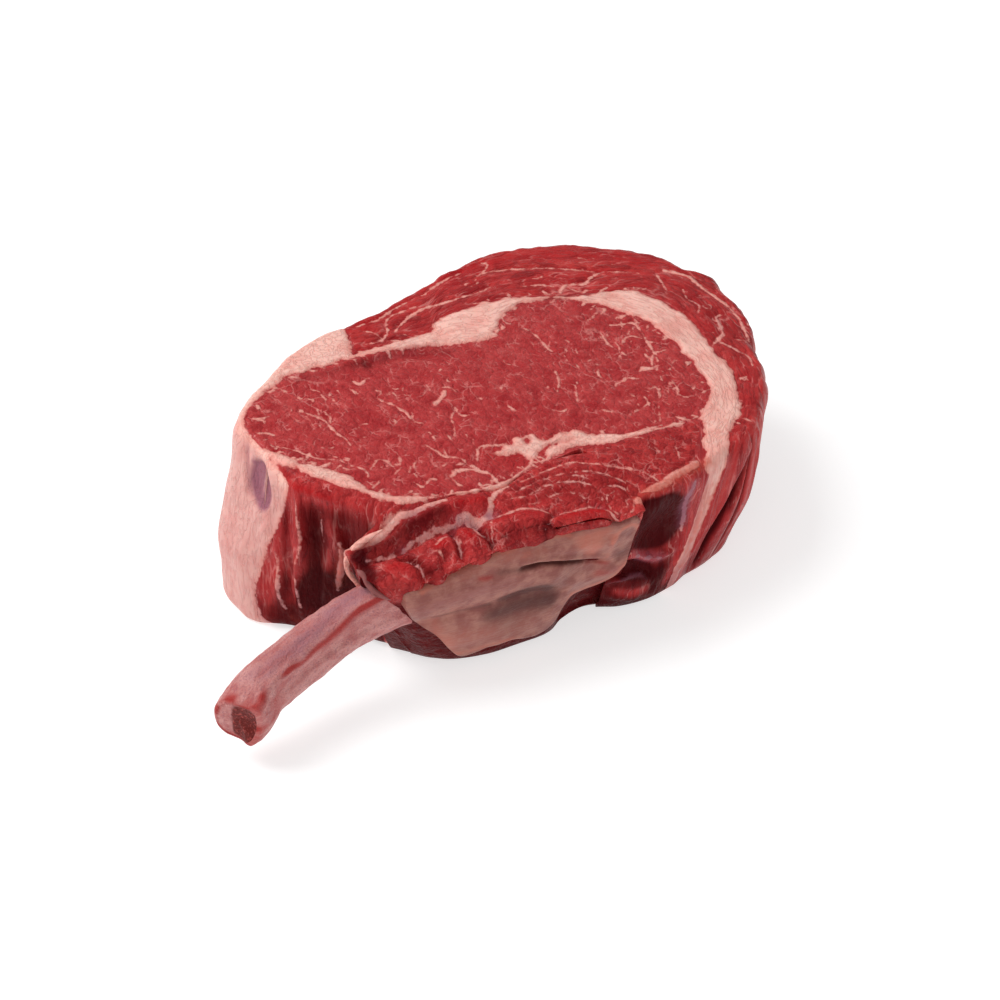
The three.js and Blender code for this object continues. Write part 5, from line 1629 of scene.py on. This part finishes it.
class Weave:
    """Adds shader nodes to a material and wires them."""

    def __init__(self, name: str) -> None:
        """Makes a material with one principled shader.

        Args:
            name: The material's name.
        """
        self.material = bpy.data.materials.new(name)
        self.material.use_nodes = True
        self.tree = self.material.node_tree
        self.shader = self.tree.nodes["Principled BSDF"]
        place = self.node("ShaderNodeTexCoord")
        self.object_mm = self.math3("MULTIPLY", place.outputs["Object"], (1000.0, 1000.0, 1000.0))

    def node(self, kind: str, **settings: object) -> bpy.types.Node:
        """Adds a node and sets its properties."""
        made = self.tree.nodes.new(kind)
        for key, value in settings.items():
            setattr(made, key, value)
        return made

    def feed(self, socket: Socket, value: object) -> None:
        """Links a socket, or sets it where the value is a number or a colour."""
        if isinstance(value, Socket):
            self.tree.links.new(value, socket)
        else:
            socket.default_value = value

    def fill(self, node: bpy.types.Node, **sockets: object) -> bpy.types.Node:
        """Feeds a node's sockets by name, with underscores for spaces."""
        for key, value in sockets.items():
            self.feed(node.inputs[key.replace("_", " ")], value)
        return node

    def read(self, name: str, vector: bool = False) -> Socket:
        """One of the mesh's own layers."""
        return self.node("ShaderNodeAttribute", attribute_name=name).outputs["Vector" if vector else "Fac"]

    def _operate(self, node: bpy.types.Node, values: Sequence[object]) -> Socket:
        """The result of a node whose sockets take the values in order."""
        for socket, value in zip(node.inputs, values, strict=False):
            self.feed(socket, value)
        return node.outputs[0]

    def math(self, kind: str, *values: object) -> Socket:
        """A sum of numbers."""
        return self._operate(self.node("ShaderNodeMath", operation=kind), values)

    def math3(self, kind: str, *values: object) -> Socket:
        """A sum of vectors."""
        return self._operate(self.node("ShaderNodeVectorMath", operation=kind), values)

    def noise(self, where: Socket, scale: float, detail: float = 2.0, rough: float = 0.5) -> Socket:
        """Cloudy noise from 0 to 1 with a number of bumps for each millimetre."""
        made = self.node("ShaderNodeTexNoise")
        return self.fill(made, Vector=where, Scale=scale, Detail=detail, Roughness=rough).outputs["Fac"]

    def cells(self, where: Socket, scale: float) -> Socket:
        """Cells, read as the distance to their edge."""
        made = self.node("ShaderNodeTexVoronoi", feature="DISTANCE_TO_EDGE")
        return self.fill(made, Vector=where, Scale=scale).outputs["Distance"]

    def cell_shade(self, where: Socket, scale: float) -> Socket:
        """A random number for each cell."""
        made = self.fill(self.node("ShaderNodeTexVoronoi", feature="F1"), Vector=where, Scale=scale)
        return self._operate(self.node("ShaderNodeSeparateColor"), [made.outputs["Color"]])

    def bent(self, where: Socket, scale: float, reach: float) -> Socket:
        """Places moved about by coloured noise, by half the reach at most each way."""
        made = self.fill(self.node("ShaderNodeTexNoise"), Vector=where, Scale=scale)
        shift = self.math3("SUBTRACT", made.outputs["Color"], (0.5, 0.5, 0.5))
        return self.math3("ADD", where, self.math3("MULTIPLY", shift, (reach, reach, reach)))

    def step(self, value: Socket, low: float, high: float, out: tuple[float, float] = (0.0, 1.0)) -> Socket:
        """A smooth step of a number between two limits."""
        made = self.node("ShaderNodeMapRange", interpolation_type="SMOOTHSTEP", clamp=True)
        sockets = {"From_Min": low, "From_Max": high, "To_Min": out[0], "To_Max": out[1]}
        return self.fill(made, Value=value, **sockets).outputs["Result"]

    def mix(self, share: Socket, first: object, second: object) -> Socket:
        """A blend of two colours."""
        made = self.fill(self.node("ShaderNodeMix", data_type="RGBA"), Factor=share)
        self.feed(made.inputs[6], first)
        self.feed(made.inputs[7], second)
        return made.outputs[2]

    def over(
        self, colour: object, paint: Colour, value: Socket, low: float, high: float, most: float = 1.0
    ) -> Socket:
        """A colour laid over another where a value passes from low to high, up to a most."""
        return self.mix(self.step(value, low, high, (0.0, most)), colour, paint)

    def bump(self, height: Socket, strength: float, distance: float, under: Socket | None = None) -> Socket:
        """Bump from a height, on top of another."""
        below = {} if under is None else {"Normal": under}
        made = self.node("ShaderNodeBump")
        sockets = {"Height": height, "Strength": strength, "Distance": distance * METRES, **below}
        return self.fill(made, **sockets).outputs["Normal"]

    def dress(self, **sockets: object) -> bpy.types.Material:
        """Feeds the shader's sockets, and gives the material."""
        self.fill(self.shader, **sockets)
        return self.material


@dataclass(frozen=True)
class FleshFinish:
    """Raw meat with its own fat: lean made of bundles, and fat where the fat layer is above 0."""

    name: str
    lean: Colour = linear(166, 38, 42)
    lean_pale: Colour = linear(186, 64, 64)
    lean_deep: Colour = linear(130, 18, 26)
    # dark red of the meat, also painted shade where the tone layer is low
    dark_red_and_shade: Colour = linear(52, 4, 8)
    # bright red of the meat, also painted light where the tone layer is high
    bright_red_and_light: Colour = linear(178, 8, 16)
    fat: Colour = linear(244, 190, 177)
    fat_pink: Colour = linear(232, 152, 140)
    fat_edge: Colour = linear(222, 138, 128)
    # painted shade of fat, where the tone layer is below 0
    fat_shade: Colour = linear(192, 132, 132)
    # pale colour of flecks of fat, also used for painted glints
    fleck_and_glint: Colour = linear(226, 140, 134)
    lilac: Colour = linear(150, 92, 108)
    salmon: Colour = linear(204, 90, 72)
    contrast: float = 1.0  # how strongly bundles differ
    bundle: float = 0.46  # bundles for each millimetre
    fringe: float = 1.0  # how ragged the edges of fat are, in millimetres

    def make(self) -> bpy.types.Material:
        """Builds the material.

        Returns:
            The material.
        """
        w = Weave(self.name)
        fat, tone, tint = w.read("fat"), w.read("tone"), w.read("tint")
        grain = w.bent(w.bent(w.read("grain", vector=True), 0.3, 2.6), 1.1, 0.8)
        lean, height = self._lean(w, grain, tone)
        ragged = w.math("SUBTRACT", w.noise(w.object_mm, 0.5, 3, 0.5), 0.5)
        field_mm = w.math("MULTIPLY_ADD", ragged, 2.0 * self.fringe, fat)
        is_fat = w.step(field_mm, -0.25, 0.3)
        crease = w.math("ABSOLUTE", w.math("SUBTRACT", w.noise(grain, 0.5, 3, 0.55), 0.5))
        colour = w.mix(is_fat, lean, self._fat(w, field_mm, tone, crease))
        drift = w.math("MULTIPLY_ADD", ragged, 0.6, tint)
        lilac = w.math("MULTIPLY", w.step(drift, 0.15, 1.0, (0.0, 0.85)), w.step(is_fat, 0, 1, (0.45, 1.0)))
        salmon = w.math("MULTIPLY", w.step(drift, -0.15, -1.0, (0.0, 0.8)), w.step(is_fat, 0, 1, (0.5, 1.0)))
        colour = w.mix(salmon, w.mix(lilac, colour, self.lilac), self.salmon)
        height = w.math("MULTIPLY", height, w.step(is_fat, 0, 1, (1.0, 0.12)))
        fold = w.math("MULTIPLY", w.step(crease, 0.0, 0.05, (-0.5, 0.0)), is_fat)
        height = w.math("ADD", w.math("MULTIPLY_ADD", is_fat, 1.0, height), fold)
        normal = w.bump(height, 0.7, 0.4, w.bump(w.noise(w.object_mm, 0.22, 4), 0.6, 1.0))
        rough = w.step(w.noise(grain, 0.8, 3), 0.3, 0.7, (0.28, 0.46))
        return w.dress(
            Base_Color=colour, Roughness=rough, Normal=normal, Subsurface_Weight=0.1,
            Subsurface_Radius=(1.0, 0.22, 0.15), Subsurface_Scale=1.4 * METRES,
            Specular_IOR_Level=w.step(tone, 0.0, -1.0, (0.16, 0.03)), Specular_Tint=(1.0, 0.5, 0.5, 1.0),
            Coat_Weight=w.step(tone, 0.0, -1.0, (0.07, 0.01)), Coat_Roughness=0.12,
        )

    def _lean(self, w: Weave, grain: Socket, tone: Socket) -> tuple[Socket, Socket]:
        """Colour and height of lean: bundles of uneven red, dark or pale lines between them, flecks, painted
        glints, and the tone layer's red with its painted light and shade.
        """
        patch = w.noise(grain, 0.16, 4, 0.6)
        other = w.noise(w.object_mm, 0.11, 3, 0.6)
        fine = w.noise(grain, 2.2, 3, 0.65)
        colour = w.mix(w.step(patch, 0.34, 0.66), self.lean, self.lean_pale)
        colour = w.over(colour, self.lean_pale, other, 0.36, 0.7, 0.45)
        for scale, share in ((self.bundle, 0.5 * self.contrast), (2.6 * self.bundle, 0.3 * self.contrast)):
            shade = w.cell_shade(grain, scale)
            colour = w.over(colour, self.lean_deep, shade, 0.5, 1.0, share)
            colour = w.over(colour, self.lean_pale, shade, 0.45, 0.0, 0.7 * share)
        edge = w.cells(grain, self.bundle)
        lines, gate = w.step(edge, 0.0, 0.13, (1.0, 0.0)), w.noise(grain, 0.3, 3)
        net = w.step(w.cells(grain, 0.16), 0.0, 0.05, (1.0, 0.0))
        hairs = w.step(w.cells(grain, 1.25), 0.0, 0.09, (1.0, 0.0))
        for drawn, cloud, low, high, most, paint in (
            (lines, gate, 0.5, 0.36, 0.6 * self.contrast, self.lean_deep),
            (lines, gate, 0.52, 0.68, 0.55, self.fleck_and_glint),
            (net, w.noise(w.object_mm, 0.09, 3), 0.5, 0.62, 0.45, self.fleck_and_glint),
            (hairs, w.noise(w.object_mm, 0.3, 3), 0.55, 0.68, 0.35, self.fleck_and_glint),
        ):
            colour = w.mix(w.math("MULTIPLY", drawn, w.step(cloud, low, high, (0.0, most))), colour, paint)
        # painted glints: small pale specks that stand in for glints of light on the wet lean
        painted_glint = w.math("MULTIPLY", w.step(fine, 0.64, 0.76), w.step(patch, 0.42, 0.6, (0.05, 0.45)))
        colour = w.mix(painted_glint, colour, self.fleck_and_glint)
        colour = w.over(colour, self.lean_deep, fine, 0.45, 0.25, 0.35 * self.contrast)
        # the tone layer: the meat's own bright and dark red, plus painted light on ridges and swellings and
        # painted shade in clefts, grooves and low on the walls
        colour = w.over(colour, self.bright_red_and_light, tone, 0.0, 1.0, 0.8)
        colour = w.over(colour, self.dark_red_and_shade, tone, 0.0, -1.2, 0.93)
        height = w.math("MULTIPLY_ADD", fine, 0.5, w.step(edge, 0.0, 0.35, (0.0, 0.8)))
        height = w.math("MULTIPLY_ADD", w.cells(grain, 1.25), 0.4, height)
        return colour, height

    def _fat(self, w: Weave, depth: Socket, tone: Socket, crease: Socket) -> Socket:
        """Colour of fat: pink at its thin edges, paler in the middle, with pinker clouds and creases, and
        painted shade where the tone layer is below 0.
        """
        colour = w.mix(w.step(depth, -0.1, 1.4), self.fat_edge, self.fat)
        cloud = w.noise(w.object_mm, 0.12, 4, 0.6)
        colour = w.over(colour, self.fat_pink, cloud, 0.42, 0.66, 0.65)
        colour = w.mix(w.step(crease, 0.0, 0.04, (0.6, 0.0)), colour, self.fat_pink)
        # painted shade: fat goes greyer pink, and dark where the tone layer is lowest
        colour = w.over(colour, self.fat_shade, tone, 0.0, -1.0, 0.95)
        return w.mix(w.step(tone, -0.9, -1.8, (0.0, 0.7)), colour, self.dark_red_and_shade)


@dataclass(frozen=True)
class SkinFinish:
    """Thin moist skin: beige mauve, with salmon fat showing through, darker blots, and painted shade in its
    crease and fold.
    """

    name: str = "membrane_skin"
    base: Colour = linear(139, 81, 74)
    pale: Colour = linear(170, 114, 101)
    brown_and_shade: Colour = linear(70, 32, 30)
    salmon: Colour = linear(194, 112, 94)
    mauve: Colour = linear(138, 78, 80)
    red: Colour = linear(150, 30, 30)

    def make(self) -> bpy.types.Material:
        """Builds the material.

        Returns:
            The material.
        """
        w = Weave(self.name)
        grain = w.read("grain", vector=True)
        tone, tint = w.read("tone"), w.read("tint")
        blots = w.noise(grain, 0.22, 4, 0.6)
        fibre = w.noise(w.math3("MULTIPLY", grain, (0.35, 1.6, 1.0)), 0.9, 3, 0.6)
        colour = w.mix(w.step(blots, 0.35, 0.65), self.base, self.pale)
        colour = w.over(colour, self.mauve, fibre, 0.4, 0.75, 0.45)
        drift = w.math("MULTIPLY_ADD", w.math("SUBTRACT", blots, 0.5), 1.2, tint)
        colour = w.over(colour, self.salmon, drift, -0.1, -1.0, 0.75)
        colour = w.over(colour, self.mauve, drift, 0.1, 0.9, 0.8)
        # the tone layer: brown of the skin, and painted shade in its crease and fold
        colour = w.over(colour, self.brown_and_shade, tone, 0.0, -1.0, 0.85)
        colour = w.over(colour, self.red, tone, 0.0, 1.2, 0.85)
        height = w.math("MULTIPLY_ADD", fibre, 0.7, blots)
        normal = w.bump(height, 0.5, 0.5)
        return w.dress(
            Base_Color=colour, Roughness=0.4, Normal=normal, Coat_Weight=0.05, Coat_Roughness=0.2,
            Specular_IOR_Level=0.2, Specular_Tint=(1.0, 0.7, 0.65, 1.0),
            Subsurface_Weight=0.1, Subsurface_Radius=(1.0, 0.4, 0.3), Subsurface_Scale=1.2 * METRES,
        )


@dataclass(frozen=True)
class BoneFinish:
    """Scraped rib bone: pink with fine pits, lilac film, red streaks and dark marrow at the sawn end."""

    name: str = "scraped_bone"
    base: Colour = linear(182, 106, 104)
    pale: Colour = linear(210, 148, 143)
    lilac: Colour = linear(156, 98, 110)
    red: Colour = linear(166, 38, 36)
    salmon: Colour = linear(186, 80, 74)
    marrow: Colour = linear(104, 22, 18)

    def make(self) -> bpy.types.Material:
        """Builds the material.

        Returns:
            The material.
        """
        w = Weave(self.name)
        grain = w.read("grain", vector=True)
        marrow, tone, tint = w.read("fat"), w.read("tone"), w.read("tint")
        streak = w.noise(grain, 0.5, 4, 0.6)
        pits = w.noise(w.object_mm, 1.6, 3, 0.6)
        colour = w.mix(w.step(streak, 0.3, 0.7), self.base, self.pale)
        colour = w.over(colour, self.lilac, pits, 0.5, 0.68, 0.6)
        colour = w.over(colour, self.pale, pits, 0.42, 0.28, 0.5)
        drift = w.math("MULTIPLY_ADD", w.math("SUBTRACT", streak, 0.5), 1.4, tint)
        colour = w.over(colour, self.lilac, drift, 0.1, 0.9, 0.8)
        colour = w.over(colour, self.salmon, drift, -0.1, -0.8, 0.7)
        glow = w.math("MULTIPLY_ADD", w.math("SUBTRACT", streak, 0.5), 0.8, tone)
        colour = w.over(colour, self.red, glow, 0.2, 0.9, 0.9)
        spongy = w.noise(w.object_mm, 1.1, 3, 0.7)
        spongy_colour = w.mix(w.step(spongy, 0.5, 0.68, (0.0, 0.75)), self.marrow, self.salmon)
        colour = w.mix(w.step(marrow, 0.3, 0.6), colour, spongy_colour)
        normal = w.bump(w.math("MULTIPLY_ADD", pits, 1.0, streak), 0.9, 0.6)
        return w.dress(
            Base_Color=colour, Roughness=0.45, Normal=normal, Coat_Weight=0.05, Coat_Roughness=0.25,
            Specular_IOR_Level=0.22, Specular_Tint=(1.0, 0.75, 0.7, 1.0), Subsurface_Weight=0.12,
            Subsurface_Radius=(1.0, 0.45, 0.35), Subsurface_Scale=1.5 * METRES,
        )


# ---- studio ----


@dataclass(frozen=True)
class Studio:
    """White floor, soft light from the upper left, and the camera of the photo's view."""

    azimuth: float = -30.0
    elevation: float = 38.0
    distance: float = 0.8418
    aim: tuple[float, float, float] = (0.0, 0.0, 0.028)
    lens: float = 100.0

    def camera(self) -> None:
        """Places the camera."""
        data = bpy.data.cameras.new("camera")
        data.lens = self.lens
        data.sensor_width = 36.0
        camera = linked("camera", data)
        a, e = math.radians(self.azimuth), math.radians(self.elevation)
        back = Vector((math.sin(a) * math.cos(e), -math.cos(a) * math.cos(e), math.sin(e)))
        camera.location = Vector(self.aim) + back * self.distance
        camera.rotation_euler = (-back).to_track_quat("-Z", "Y").to_euler()
        bpy.context.scene.camera = camera

    def floor(self) -> None:
        """Lays a wide white floor just under the steak."""
        size, level = 6.0, -0.0002
        corners = [(-size, -size, level), (size, -size, level), (size, size, level), (-size, size, level)]
        mesh = bpy.data.meshes.new("floor")
        mesh.from_pydata(corners, [], [(0, 1, 2, 3)])
        floor = linked("floor", mesh)
        white = bpy.data.materials.new("white_floor")
        white.use_nodes = True
        shader = white.node_tree.nodes["Principled BSDF"]
        for key, value in (
            ("Base Color", (0.55, 0.55, 0.55, 1)), ("Emission Color", (1, 1, 1, 1)),
            ("Emission Strength", 0.62), ("Roughness", 0.9), ("Specular IOR Level", 0.1),
        ):
            shader.inputs[key].default_value = value
        mesh.materials.append(white)

    def _lamp(self, name: str, place: tuple[float, float, float], size: float, watts: float) -> None:
        """A square soft light that faces the steak."""
        data = bpy.data.lights.new(name, "AREA")
        data.size = size
        data.energy = watts
        lamp = linked(name, data)
        lamp.location = place
        lamp.rotation_euler = (Vector(self.aim) - Vector(place)).to_track_quat("-Z", "Y").to_euler()

    def lights(self) -> None:
        """Sets a large key light, a weak front light and the white room."""
        self._lamp("key", (-0.62, 0.5, 1.2), 0.8, 15.0)
        self._lamp("front", (-0.5, -1.1, 0.8), 1.0, 3.0)
        world = bpy.data.worlds.new("white_room")
        world.use_nodes = True
        back = world.node_tree.nodes["Background"]
        back.inputs["Color"].default_value = (1.0, 1.0, 1.0, 1.0)
        back.inputs["Strength"].default_value = 0.42
        bpy.context.scene.world = world
        bpy.context.scene.view_settings.view_transform = "Standard"

    def build(self) -> None:
        """Sets up camera, floor and light."""
        self.camera()
        self.floor()
        self.lights()


# ---- the steak ----


def main() -> None:
    """Builds the steak around the frame and reports each piece."""
    logging.basicConfig(level=logging.INFO, format="%(name)s: %(message)s")
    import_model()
    Studio().build()
    form = SteakForm()
    finishes = {
        "lean_meat": FleshFinish("lean_meat_raw", contrast=0.55).make(),
        "fat": FleshFinish("fat_raw").make(),
        "cap_meat": FleshFinish(
            "cap_meat_raw",
            lean=linear(164, 32, 36), lean_pale=linear(188, 56, 55), lean_deep=linear(118, 12, 18),
        ).make(),
    }
    for piece in slab_pieces(form):
        piece.build(finishes[piece.slot])
    meat = RibMeat(form)
    meat.build(finishes["cap_meat"])
    skin = SkinFinish().make()
    Membrane(meat).build(skin)
    Strip("end_strip", "fat", END_STRIP, 2.0, -0.1, -0.35, 71).build(finishes["fat"])
    Strip("root_tissue", "membrane", ROOT_TISSUE, 1.0, 0.0, 0.8, 72).build(skin)
    RibBone().build(BoneFinish().make())
    bpy.context.view_layer.update()


if __name__ == "__main__":
    main()
